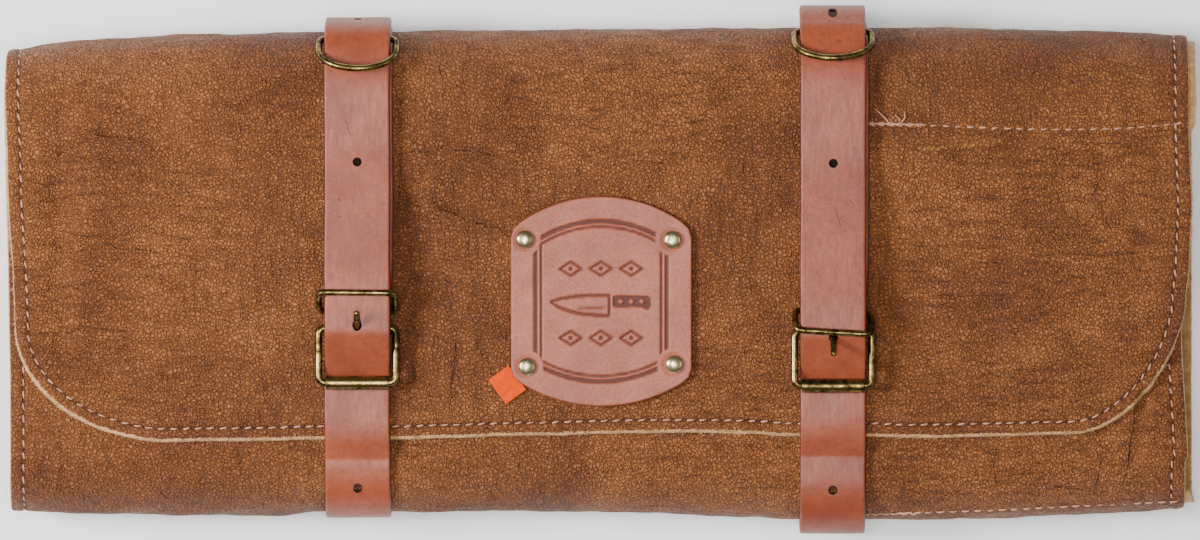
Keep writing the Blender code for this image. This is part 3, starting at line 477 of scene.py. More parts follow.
def outline_of_flap():
    """The flap's free edge from above: down the left side, round a corner that is a superellipse
    |x|^p + |y|^p = 1, along the lower edge, round the other corner and up the right side."""

    def left_side(y):
        return LEFT_X + read(FLAP_LEFT, (y - ROLL_MIDDLE_Y) / ROLL_DEPTH) * ROLL_LENGTH

    def right_side(y):
        return RIGHT_X - read(FLAP_RIGHT, (y - ROLL_MIDDLE_Y) / ROLL_DEPTH) * ROLL_LENGTH

    angle = np.linspace(math.pi / 2, 0, CORNER_POINTS)
    width, tall, power = LEFT_CORNER
    low = roll_sizes(LEFT_X + width).edge
    corner_y = low + tall * (1 - np.cos(angle) ** (2 / power))
    corner_x = left_side(low + tall) + width * (1 - np.sin(angle) ** (2 / power))
    top = front_y(roll_sizes(LEFT_X), 1)
    side_y = np.linspace(top, low + tall, SIDE_POINTS)
    first = np.column_stack([left_side(side_y), side_y])
    first_corner = np.column_stack([corner_x, corner_y])
    width, tall, power = RIGHT_CORNER
    low = roll_sizes(RIGHT_X - width).edge
    corner_y = low + tall * (1 - np.cos(angle[::-1]) ** (2 / power))
    corner_x = right_side(low + tall) - width * (1 - np.sin(angle[::-1]) ** (2 / power))
    last_corner = np.column_stack([corner_x, corner_y])
    top = front_y(roll_sizes(RIGHT_X), 1)
    side_y = np.linspace(low + tall, top, SIDE_POINTS)
    last = np.column_stack([right_side(side_y), side_y])
    edge_x = np.linspace(first_corner[-1, 0], last_corner[0, 0], 300)
    lower = np.column_stack([edge_x, roll_sizes(edge_x).edge])
    half = CORNER_POINTS // 2
    left = np.concatenate([first, first_corner[1:half]])
    middle = np.concatenate([first_corner[half - 1 :], lower[1:-1], last_corner[:half]])
    right = np.concatenate([last_corner[half - 1 :], last[1:]])
    return left, middle, right


def respace(path, count):
    """The path read again at equal distances."""
    along = distance_along(path)
    return read_along(np.linspace(0.0, along[-1], count), along, path)


def flap_plan():
    """Points of the flap seen from above: a rim of lines parallel to its free edge, and inside it a
    blend of four boundary curves. Returns the points, edge distances and the grids of their numbers."""
    left, middle, right = outline_of_flap()
    parts = [respace(left, SIDE_STEPS), respace(middle, EDGE_STEPS), respace(right, SIDE_STEPS)]
    outline = np.concatenate([parts[0], parts[1][1:], parts[2][1:]])
    kernel = np.array([1, 2, 3, 2, 1]) / 9
    padded = np.concatenate([outline[:1]] * 2 + [outline] + [outline[-1:]] * 2)
    outline = np.column_stack([np.convolve(values, kernel, "valid") for values in padded.T])
    ahead = unit(np.gradient(outline, axis=0))
    inwards = np.column_stack([-ahead[:, 1], ahead[:, 0]])
    inwards[0] = (1, 0)
    inwards[-1] = (-1, 0)
    rim = outline[None] + RIM_OFFSETS[:, None, None] * inwards[None]
    for end in (0, -1):
        rim[:, end, 1] = front_y(roll_sizes(rim[:, end, 0]), 1)
    inner = rim[-1]
    down = inner[:SIDE_STEPS]
    base = inner[SIDE_STEPS - 1 : SIDE_STEPS - 1 + EDGE_STEPS]
    up = inner[SIDE_STEPS + EDGE_STEPS - 2 :][::-1]
    top_x = np.linspace(down[0, 0], up[0, 0], EDGE_STEPS)
    top = np.column_stack([top_x, front_y(roll_sizes(top_x), 1)])
    v = np.linspace(0, 1, SIDE_STEPS)[:, None, None]
    h = np.linspace(0, 1, EDGE_STEPS)[None, :, None]
    sides = (1 - h) * down[:, None] + h * up[:, None] + (1 - v) * top[None] + v * base[None]
    corners = (1 - v) * ((1 - h) * top[0] + h * top[-1]) + v * ((1 - h) * base[0] + h * base[-1])
    middle = sides - corners
    rim_number = np.arange(rim.shape[0] * rim.shape[1]).reshape(rim.shape[:2])
    inner_count = (SIDE_STEPS - 1) * (EDGE_STEPS - 2)
    inner_number = rim_number.size + np.arange(inner_count)
    middle_number = np.zeros(middle.shape[:2], int)
    middle_number[:-1, 1:-1] = inner_number.reshape(SIDE_STEPS - 1, -1)
    middle_number[:, 0] = rim_number[-1, :SIDE_STEPS]
    middle_number[-1, :] = rim_number[-1, SIDE_STEPS - 1 : SIDE_STEPS - 1 + EDGE_STEPS]
    middle_number[:, -1] = rim_number[-1, SIDE_STEPS + EDGE_STEPS - 2 :][::-1]
    points = np.concatenate([rim.reshape(-1, 2), middle[:-1, 1:-1].reshape(-1, 2)])
    edge = np.concatenate([np.repeat(RIM_OFFSETS, rim.shape[1]), np.full(inner_count, RIM_OFFSETS[-1] + MM)])
    return points, edge, rim_number, middle_number


def panel_row_shares():
    """The rows past the flap: upper turn, back, lower turn, panel under the flap, inner turn, tail."""
    return (
        ("top", np.linspace(0, 1, 21)[1:], 0.0),
        ("back", np.linspace(0, 1, 9)[1:], 0.0),
        ("bottom", np.linspace(0, 1, 19)[1:], 0.0),
        ("front", np.concatenate([np.linspace(0, 0.30, 21)[1:], np.linspace(0.30, 1, 7)[1:]]), 0.0),
        ("top", np.linspace(0, 1, INNER_TURN_ROWS + 1)[1:], LAYER_PITCH),
        ("back", INNER_TAIL_SHARE * np.array([0.4, 0.8, 0.97, 0.985, 0.995, 1.0]), LAYER_PITCH),
    )


def side_insets(run, share, inset):
    """How far the sheet's two sides lie in from the roll's ends along a row."""
    if run == "front":
        depth = mix(-0.4, 0.4, share)
        return read(PANEL_LEFT, depth) * ROLL_LENGTH, read(PANEL_RIGHT, depth) * ROLL_LENGTH
    if inset:
        return PANEL_LEFT[-1][1] * ROLL_LENGTH + 0 * share, PANEL_RIGHT[-1][1] * ROLL_LENGTH + 0 * share
    done = {"top": 0.0, "back": 0.25, "bottom": 0.75}[run] + share * 0.25
    left = mix(FLAP_LEFT[-1][1], PANEL_LEFT[0][1], done) * ROLL_LENGTH
    right = mix(FLAP_RIGHT[-1][1], PANEL_RIGHT[0][1], done) * ROLL_LENGTH
    return left, right


def build_hide():
    """The whole rolled sheet: the flap's plan laid on the front, then rows that follow the turns, the
    back and the layers inside. Returns the sewn line's points and normals, and the flap's edge."""
    plan, edge, rim, middle = flap_plan()
    x, y = plan.T
    sizes = roll_sizes(x)
    droop = 1 - ease((y + 0.020) / 0.050)
    rise = mix(LAYER_PITCH, flap_rise(edge), droop)
    front = np.column_stack([x, *on_front(sizes, y, rise)])
    relief = [front_relief(x, y)]
    points = [front]
    edges = [edge]
    rows = [np.concatenate([rim[:, 0], middle[0, 1:-1], rim[::-1, -1]])]
    number = len(front)
    inner_share = np.linspace(0, 1, EDGE_STEPS)[1:-1]
    tail_run = ROLL_DEPTH * 0.75 * INNER_TAIL_SHARE
    for run, share, inset in panel_row_shares():
        left, right = side_insets(run, share, inset)
        start = (LEFT_X + left)[:, None] + RIM_OFFSETS
        end = (RIGHT_X - right)[:, None] - RIM_OFFSETS[::-1]
        between = mix(start[:, -1:], end[:, :1], inner_share[None])
        x = np.concatenate([start, between, end], axis=1)
        sizes = roll_sizes(x)
        part = np.broadcast_to(share[:, None], x.shape)
        if run == "front":
            y, z = on_front(sizes, front_y(sizes, part), 0.0)
            lift = front_relief(x, y)
        elif run == "back":
            y, z = on_back(sizes, part, -inset)
            lift = 0.22 * MM * waves(x, y, 11, 0.03, 0.08) * (1 - bed(x)[0]) * (0.4 if inset else -1.0)
            lift = np.minimum(lift, 0.0)
        else:
            y, z = on_turn(sizes, run, part, -inset)
            lift = 0.40 * MM * waves(x, z * 1.6, 7, 0.014, 0.060) * (1 - bed(x)[0])
            lift = lift * np.sin(part * math.pi) ** 0.5 * (0.3 if inset else 1.0)
        deep_inside = np.full(inner_share.size, RIM_OFFSETS[-1] + MM)
        from_side = np.concatenate([RIM_OFFSETS, deep_inside, RIM_OFFSETS[::-1]])
        far = np.broadcast_to(from_side, x.shape)
        if run == "back" and inset:
            far = np.minimum(far, (1 - part / INNER_TAIL_SHARE) * tail_run)
        points.append(np.stack([x, y, z], axis=-1).reshape(-1, 3))
        relief.append(lift.ravel())
        edges.append(far.ravel())
        for _ in range(len(share)):
            rows.append(number + np.arange(x.shape[1]))
            number += x.shape[1]
    body = np.stack(rows)
    points = np.concatenate(points)
    edge = np.concatenate(edges)
    relief = np.concatenate(relief)
    relief = relief - 0.45 * MM * np.exp(-(((edge - SEAM_INSET) / (0.75 * MM)) ** 2))
    relief = relief + 0.20 * MM * np.exp(-(((edge - 0.0036) / (1.4 * MM)) ** 2))
    faces = np.concatenate([faces_of(rim), faces_of(middle[::-1]), faces_of(body)])
    sheet = close_sheet(points, faces, edge, LEATHER, CUT_ROUNDING, relief)
    everything, both, edge_mark, flesh, grain, normals = sheet
    everything[:, 2] = np.maximum(everything[:, 2], 0.0)
    low_edge = ease((ROLL_MIDDLE_Y - 0.018 - points[:, 1]) / 0.030) * (np.arange(len(points)) < len(front))
    band = mix(SIDE_BAND, LOWER_BAND, low_edge)
    band = np.concatenate([band, band[edge > 1e-9]])
    marks = {"edge": edge_mark / MM, "flesh": flesh, "cut": edge_mark / band}
    add_piece(
        "roll_hide", everything, both, LOOKS["hide"], replaces=("roll_leather",), marks=marks
    )
    hidden = TAIL_ROWS + INNER_TURN_ROWS
    left = body[1 : len(body) - hidden, SEAM_RIM][::-1]
    right = body[1 : len(body) - hidden, body.shape[1] - 1 - SEAM_RIM]
    seam = np.concatenate([left, rim[SEAM_RIM], right])
    return SimpleNamespace(
        seam=(grain[seam], normals[seam]),
        flap_edge=(grain[rim[0]], normals[rim[0]], grain[rim[4]]),
    )


def build_pocket():
    """The thin panel inside the outer turn, from under the flap round to the lower turn."""
    inset = LEATHER + GAP
    rim = np.array([0, 0.25, 0.6, 1.2, 2.4]) * MM
    end = RIGHT_X + POCKET_OVERHANG
    start = end - POCKET_WIDTH
    x = np.concatenate([start + rim, np.linspace(start + 0.006, end - 0.006, 40), end - rim[::-1]])
    low = ROLL_MIDDLE_Y + POCKET_FRONT_SHARE * ROLL_DEPTH
    sizes = roll_sizes(x)
    rows = []
    along = []
    for step in np.concatenate([rim, np.linspace(0.005, front_y(sizes, 1).min() - low, 10)]):
        rows.append(on_front(sizes, low + step + 0 * x, LAYER_PITCH - inset))
        along.append(step)
    last = {"bottom": POCKET_BOTTOM_SHARE}
    for run, count in (("top", 24), ("back", 14), ("bottom", 16)):
        for share in np.linspace(0, last.get(run, 1.0), count + 1)[1:]:
            if run == "back":
                rows.append(on_back(sizes, share, -inset))
            else:
                rows.append(on_turn(sizes, run, share, -inset))
            along.append(1.0)
    rows = np.stack([np.stack(row) for row in rows])
    along = np.array(along)
    along[-3:] = (0.0024, 0.0008, 0.0)
    grid = np.stack([np.broadcast_to(x, rows[:, 0].shape), rows[:, 0], rows[:, 1]], axis=-1)
    from_side = np.minimum(x - x[0], x[-1] - x)
    edge = np.minimum(from_side[None], along[:, None]).copy()
    near_end = np.clip((4 * MM - (x[-1] - x)[None]) / (4 * MM), 0, 1)
    near_start = np.clip(1 - along[:, None] / (4 * MM), 0, 1)
    grid[..., 0] -= near_end**2 * near_start * 2.2 * MM
    index = np.arange(edge.size).reshape(edge.shape)
    frayed = 0.12 * MM * waves(grid[..., 1], grid[..., 2], 21, 0.002, 0.007) * (from_side < 1.3 * MM)[None]
    grid[..., 0] += frayed
    made = close_sheet(grid.reshape(-1, 3), faces_of(index), edge.ravel(), POCKET_THICKNESS, 0.9 * MM)
    marks = {"edge": made[2] / MM, "flesh": made[3]}
    add_piece(
        "pocket_suede", made[0], made[1], LOOKS["suede"],
        replaces=("pocket_panel",), marks=marks,
    )
    normals = point_normals(grid.reshape(-1, 3), faces_of(index)).reshape(grid.shape)
    return grid[:, -1], normals[:, -1]


# Wires and turned pieces


def pole_fans(index, first):
    """Triangles that close the first and last ring of a grid at the poles numbered first and first + 1."""
    sides = index.shape[1] - 1
    near = np.column_stack([index[0, 1:], index[0, :-1], np.full(sides, first), np.full(sides, -1)])
    far = np.column_stack([index[-1, :-1], index[-1, 1:], np.full(sides, first + 1), np.full(sides, -1)])
    return np.concatenate([near, far])


def tube(path, radius, sides=16, closed=False, plane=(1, 0, 0)):
    """A round wire: a circle carried along a flat path. The circle is spanned by the normal of the
    path's plane and the normal within that plane. An open end closes in a pole."""
    path = np.asarray(path, float)
    if closed:
        ahead = unit(np.roll(path, -1, axis=0) - np.roll(path, 1, axis=0))
    else:
        ahead = unit(np.gradient(path, axis=0))
    plane = unit(np.broadcast_to(np.asarray(plane, float), path.shape))
    inner = unit(np.cross(plane, ahead))
    angle = np.linspace(0, 2 * math.pi, sides, endpoint=False)
    radius = np.broadcast_to(radius, len(path))[:, None, None]
    ring = np.cos(angle)[None, :, None] * inner[:, None] + np.sin(angle)[None, :, None] * plane[:, None]
    points = (path[:, None] + radius * ring).reshape(-1, 3)
    index = np.arange(len(path) * sides).reshape(len(path), sides)
    index = np.concatenate([index, index[:, :1]], axis=1)
    if closed:
        faces = faces_of(np.concatenate([index, index[:1]]))
        return points, faces
    faces = np.concatenate([faces_of(index), pole_fans(index, len(points))])
    return np.concatenate([points, path[:1], path[-1:]]), faces


def outwards(points, faces):
    """The faces turned round where the closed shape is inside out."""
    solid = faces[(faces >= 0).all(axis=1)]
    return faces if volume_sign(points - points.mean(axis=0), solid) > 0 else turned_round(faces)


def turned_round(faces):
    flipped = faces[:, ::-1].copy()
    fan = flipped[:, 0] < 0
    flipped[fan] = np.roll(flipped[fan], -1, axis=1)
    return flipped


def add_wire(name, node_name, path, radius, sides, closed, plane):
    """A brass wire along a path, in place of one node of the buckles or rings."""
    points, faces = tube(path, radius, sides, closed, plane)
    add_piece(name, points, outwards(points, faces), LOOKS["brass"], replaces=(node_name,))


def turned(profile, steps):
    """A closed profile of (radius, height) turned round the height axis."""
    profile = np.asarray(profile, float)
    angle = np.linspace(0, 2 * math.pi, steps, endpoint=False)
    ring = np.stack([np.cos(angle), np.sin(angle)], axis=-1)
    wall = np.concatenate([
        profile[:, None, :1] * ring[None],
        np.broadcast_to(profile[:, None, 1:], (len(profile), steps, 1)),
    ], axis=-1)
    index = np.arange(len(profile) * steps).reshape(len(profile), steps)
    index = np.concatenate([index, index[:, :1]], axis=1)
    return wall.reshape(-1, 3), index


def rounded_loop(width, height, corner, steps=10, straight=14):
    """A corner-rounded rectangle in a plane, centred on 0, with points along its straight sides too."""
    points = []
    for quarter, (sx, sy) in enumerate(((1, 1), (-1, 1), (-1, -1), (1, -1))):
        for step in range(steps + 1):
            angle = math.radians(90 * (quarter + step / steps))
            x = sx * (width / 2 - corner) + corner * math.cos(angle)
            y = sy * (height / 2 - corner) + corner * math.sin(angle)
            points.append((x, y))
    points = np.array(points + points[:1])
    return respace(points, 4 * (steps + straight) + 1)[:-1]


# The buckle's plane


def hinge_point(side):
    sizes = roll_sizes(STRAP_X[side])
    return on_front(sizes, HINGE_Y[side], LAYER_PITCH + HINGE_HEIGHT)


def front_slope(side):
    sizes = roll_sizes(STRAP_X[side])
    low = on_front(sizes, front_y(sizes, 0.2), 0)
    high = on_front(sizes, front_y(sizes, 0.8), 0)
    return math.atan2(high[1] - low[1], high[0] - low[0])


def from_hinge(side, along, height):
    """Points in the buckle's own plane, along the front from the hinge bar and over its axis."""
    slope = front_slope(side)
    y, z = hinge_point(side)
    along = np.asarray(along, float)
    y = y + along * math.cos(slope) - height * math.sin(slope)
    z = z + along * math.sin(slope) + height * math.cos(slope)
    return np.stack(np.broadcast_arrays(y, z), axis=-1)


def arc(side, centre, radius, start_deg, end_deg, steps=14):
    angle = np.radians(np.linspace(start_deg, end_deg, steps))
    return from_hinge(side, centre[0] + radius * np.cos(angle), centre[1] + radius * np.sin(angle))


def crossing_deg():
    drop = math.atan2(HINGE_HEIGHT - ROLLER_HEIGHT, FRAME_BAR_REACH)
    return math.degrees(math.asin((OVER_HINGE_RADIUS + UNDER_ROLLER_RADIUS) / FRAME_REACH) + drop)


def keeper_rise():
    return OVER_HINGE_RADIUS + STRAP_HALF + STRAP_GAP + KEEPER_WIRE / 2


def keeper_head(side):
    return (KEEPER_TOP_Y[side] - HINGE_Y[side]) / math.cos(front_slope(side))


def keeper_foot(side):
    lean = math.sqrt(max(KEEPER_HEIGHT**2 - keeper_rise() ** 2, 0.0))
    clear = FRAME_WIRE / 2 + GAP + PRONG_WIRE + GAP + KEEPER_WIRE / 2
    head = keeper_head(side)
    return max(head - lean if head > clear + lean else head + lean, clear)


def ring_outwards():
    return UNDER_HEIGHT + STRAP_HALF + STRAP_GAP + RING_WIRE / 2


def ring_share(side, sizes):
    radius = sizes.high / 2
    across = (radius - RING_BAR_INSET[side]) / (radius + ring_outwards())
    return 0.5 - math.degrees(math.acos(min(max(float(across), 0.0), 1.0))) / 180


def strap_path(side):
    """The strap's middle line in (y, z, sideways shift): folded back at the hinge bar, round the roll,
    under the roller, over the hinge bar and on to the tip. Also its place straight over the hinge."""
    sizes = roll_sizes(STRAP_X[side])
    under = UNDER_HEIGHT - HINGE_HEIGHT
    runs = [from_hinge(side, [FOLD_LENGTH], under), arc(side, (0, 0), FOLD_RADIUS, 270, 90)]
    bar = keeper_foot(side)
    runs.append(from_hinge(side, [bar + KEEPER_WIRE], FOLD_TOP_HEIGHT - HINGE_HEIGHT))
    runs.append(from_hinge(side, [bar + KEEPER_WIRE + RAMP_RUN], under))
    turn = np.linspace(0, 1, 31)
    shifted = sum(len(run) for run in runs)
    runs.append(np.column_stack(on_turn(sizes, "top", turn, UNDER_HEIGHT)))
    runs.append(np.column_stack(on_back(sizes, np.linspace(0, 1, 9)[1:], UNDER_HEIGHT)))
    slack = BOTTOM_SLACK[side] * np.sin(turn[1:] * math.pi) ** 2
    y, z = on_turn(sizes, "bottom", turn[1:], UNDER_HEIGHT + slack)
    runs.append(np.column_stack([y, np.maximum(z, STRAP_HALF)]))
    edge = sizes.edge
    runs.append(np.column_stack(on_front(sizes, np.array([edge - 0.008]), UNDER_HEIGHT)))
    past = np.array([0.0, 0.002, 0.005, 0.009, 0.012])
    over_edge = UNDER_HEIGHT + flap_rise(past) + 0.0002
    runs.append(np.column_stack(on_front(sizes, edge - 0.0006 + past, over_edge)))
    fall = crossing_deg()
    roller = (-FRAME_BAR_REACH, ROLLER_HEIGHT - HINGE_HEIGHT)
    runs.append(arc(side, roller, UNDER_ROLLER_RADIUS, 270, 270 + fall))
    runs.append(arc(side, (0, 0), OVER_HINGE_RADIUS, 90 + fall, 90))
    above_hinge = runs[-1][-1]
    end = max(bar, keeper_head(side)) + KEEPER_WIRE
    runs.append(from_hinge(side, [end], OVER_HINGE_RADIUS))
    runs.append(from_hinge(side, [end + OUTER_RAMP_RUN], OVER_HEIGHT - HINGE_HEIGHT))
    share = np.linspace(0, STRAP_TIP_SHARE, 40)
    room = (RING_WIRE + STRAP_GAP) * np.exp(-(((share - ring_share(side, sizes)) / RING_BUMP_SHARE) ** 2))
    slack = TOP_SLACK[side] * np.sin(share * math.pi) ** 1.5
    runs.append(np.column_stack(on_turn(sizes, "top", share, OVER_HEIGHT + np.maximum(room, slack))))
    path = np.concatenate(runs)
    shift = np.zeros(len(path))
    shift[shifted - 1 : shifted + 31] = np.concatenate([[1.0], np.linspace(1, 0, 31)]) * STRAP_UNDER_SHIFT
    return np.column_stack([path, shift]), above_hinge


def averaged(path, spacing, reach):
    """The path averaged along itself with a bell of the given reach."""
    many = int(2.2 * reach / spacing) + 1
    bell = np.exp(-((np.arange(-many, many + 1) * spacing / reach) ** 2))
    bell /= bell.sum()
    padded = np.concatenate([np.repeat(path[:1], many, axis=0), path, np.repeat(path[-1:], many, axis=0)])
    return np.column_stack([np.convolve(values, bell, "valid") for values in padded.T])


def soften(path, spacing, firm_places):
    """The path at equal spacing: barely averaged near the hardware that shapes it, and widely elsewhere,
    so that the leather runs in long easy curves."""
    length = np.linalg.norm(np.diff(path[:, :2], axis=0), axis=1).sum()
    even = respace(path, int(length / spacing) + 1)
    near = np.min([np.hypot(*(even[:, :2] - place).T) for place in firm_places], axis=0)
    tight = averaged(even, spacing, 0.9 * MM)
    return mix(tight, averaged(even, spacing, 4.5 * MM), ease((near - 0.0085) / 0.006)[:, None])


def cutter_box(name, size, centre, slope):
    mesh = bpy.data.meshes.new(name)
    half = np.array(size) / 2
    corners = np.array([(x, y, z) for x in (-1, 1) for y in (-1, 1) for z in (-1, 1)]) * half
    corners = corners @ tilted(slope).T + np.array(centre)
    faces = [(0, 1, 3, 2), (4, 6, 7, 5), (0, 4, 5, 1), (2, 3, 7, 6), (0, 2, 6, 4), (1, 5, 7, 3)]
    mesh.from_pydata(corners.tolist(), [], faces)
    return mesh


def cutter_rod(name, radius, length, centre, direction, steps=24):
    """A round punch with flat ends along a direction in the plane of y and z."""
    direction = unit(np.array(direction, float))
    side = np.array([1.0, 0.0, 0.0])
    up = np.cross(direction, side)
    angle = np.linspace(0, 2 * math.pi, steps, endpoint=False)
    ring = radius * (np.cos(angle)[:, None] * side + np.sin(angle)[:, None] * up)
    ends = [np.array(centre) + sign * direction * length / 2 + ring for sign in (-1, 1)]
    mesh = bpy.data.meshes.new(name)
    walls = [(i, (i + 1) % steps, steps + (i + 1) % steps, steps + i) for i in range(steps)]
    caps = [tuple(range(steps))[::-1], tuple(range(steps, 2 * steps))]
    mesh.from_pydata(np.concatenate(ends).tolist(), [], walls + caps)
    return mesh


def punch(piece, cutters):
    """Cuts each closed cutter mesh out of the piece and keeps only the result."""
    helpers = []
    for cutter in cutters:
        helper = bpy.data.objects.new(cutter.name, cutter)
        bpy.context.scene.collection.objects.link(helper)
        step = piece.modifiers.new(cutter.name, "BOOLEAN")
        step.operation = "DIFFERENCE"
        step.solver = "EXACT"
        step.object = helper
        helpers.append(helper)
    graph = bpy.context.evaluated_depsgraph_get()
    cut = piece.evaluated_get(graph)
    done = bpy.data.meshes.new_from_object(cut, preserve_all_data_layers=True, depsgraph=graph)
    piece.modifiers.clear()
    piece.data = done
    for helper in helpers:
        bpy.data.objects.remove(helper, do_unlink=True)
    done.shade_smooth()
    done.set_sharp_from_angle(angle=math.radians(50))


def prong_line(side):
    radius = FRAME_WIRE / 2 + GAP + PRONG_WIRE / 2
    lean = math.radians(PRONG_LEAN_DEG[side])
    away = lean + PRONG_SIDE[side] * math.pi / 2
    y, z = hinge_point(side)
    base = np.array([STRAP_X[side], y + radius * math.cos(away), z + radius * math.sin(away)])
    return base, np.array([0, math.cos(lean), math.sin(lean)])


def strap_course(side):
    """The strap's softened middle line, the distance along it, its upward directions and its holes:
    centre and axis of the prong's own hole and of the belt holes at an even pitch from it."""
    path, above_hinge = strap_path(side)
    sizes = roll_sizes(STRAP_X[side])
    roller = from_hinge(side, -FRAME_BAR_REACH, ROLLER_HEIGHT - HINGE_HEIGHT)
    ring = np.array(on_turn(sizes, "top", ring_share(side, sizes), ring_outwards()))
    flap_edge = np.array(on_front(sizes, sizes.edge, UNDER_HEIGHT + FLAP_EDGE_RISE))
    path = soften(path, 1.0 * MM, (hinge_point(side), roller, ring, flap_edge))
    end = distance_along(path[:, :2])
    ahead = unit(np.gradient(path[:, :2], axis=0))
    upwards = np.column_stack([-ahead[:, 1], ahead[:, 0]])
    base, direction = prong_line(side)
    holes = [(base + direction * OVER_HINGE_RADIUS, direction)]
    start = int(np.argmin(np.hypot(*(path[:, :2] - above_hinge).T) + 0.1 * (end < end[-1] / 2)))
    for distance in (-HOLE_PITCH, HOLE_PITCH, 2 * HOLE_PITCH):
        place = int(np.argmin(np.abs(end - end[start] - distance)))
        holes.append((np.array([STRAP_X[side], *path[place, :2]]), np.array([0, *upwards[place]])))
    return SimpleNamespace(path=path, end=end, upwards=upwards, holes=holes)


def build_strap(side):
    """A band carried along the strap's middle line, with rounded burnished edges, faint cupping and
    punched holes."""
    course = strap_course(side)
    path, end, upwards = course.path, course.end, course.upwards
    rim = np.array([0, 0.2, 0.5, 0.9, 1.4, 2.2]) * MM
    half = STRAP_WIDTH / 2
    across = np.concatenate([-half + rim, np.linspace(-half + 0.0045, half - 0.0045, 7), (half - rim)[::-1]])
    from_end = np.minimum(end, end[-1] - end)
    narrow = np.clip(1 - (end[-1] - end) / 0.016, 0, 1) ** 2 * 0.55
    x = STRAP_X[side] + path[:, 2:3] + across[None] * (1 - narrow[:, None])
    x = x + 0.10 * MM * waves(end, 0 * end, 31 if side == "left" else 37, 0.03, 0.09)[:, None]
    cup = -0.10 * MM * (across[None] / half) ** 4
    wander = 0.06 * MM * waves(x, end[:, None] + 0 * x, 41, 0.010, 0.030)
    lift = STRAP_HALF + cup + wander
    y = path[:, 0:1] + upwards[:, 0:1] * lift
    z = path[:, 1:2] + upwards[:, 1:2] * lift
    grid = np.stack([x, y, np.maximum(z, 0.0)], axis=-1)
    index = np.arange(x.size).reshape(x.shape)
    edge = np.minimum(np.minimum(across + half, half - across)[None], from_end[:, None])
    edge[0] = 0.0
    edge[-1] = 0.0
    for faces in (faces_of(index), faces_of(index)[:, ::-1]):
        made = close_sheet(grid.reshape(-1, 3), faces, edge.ravel(), STRAP_THICKNESS, 1.0 * MM)
        points, faces, edges, flesh = made[:4]
        if volume_sign(points - points.mean(axis=0), faces) > 0:
            break
    points[:, 2] = np.maximum(points[:, 2], 0.0)
    marks = {"edge": edges / MM, "flesh": flesh}
    strap = add_piece(
        f"strap_band_{side}", points, faces, LOOKS["strap"],
        replaces=(f"strap_{side}",), marks=marks,
    )
    slot_top = FOLD_RADIUS + STRAP_HALF + STRAP_GAP / 2
    slot_low = FOLD_RADIUS + STRAP_HALF + STRAP_GAP
    slot_size = (PRONG_WIRE + 2 * SLOT_SIDE_CLEARANCE, SLOT_LENGTH, slot_top + slot_low)
    middle = from_hinge(side, SLOT_SHIFT, (slot_top - slot_low) / 2)
    cutters = [cutter_box(f"slot_{side}", slot_size, (STRAP_X[side], *middle), front_slope(side))]
    prong_radius = PRONG_WIRE / 2 + PRONG_HOLE_CLEARANCE
    cutters.append(cutter_rod(f"prong_{side}", prong_radius, 5 * STRAP_THICKNESS, *course.holes[0]))
    for centre, axis in course.holes[1:]:
        cutters.append(cutter_rod(f"punch_{side}", HOLE_DIAMETER / 2, 1.8 * STRAP_THICKNESS, centre, axis))
    punch(strap, cutters)


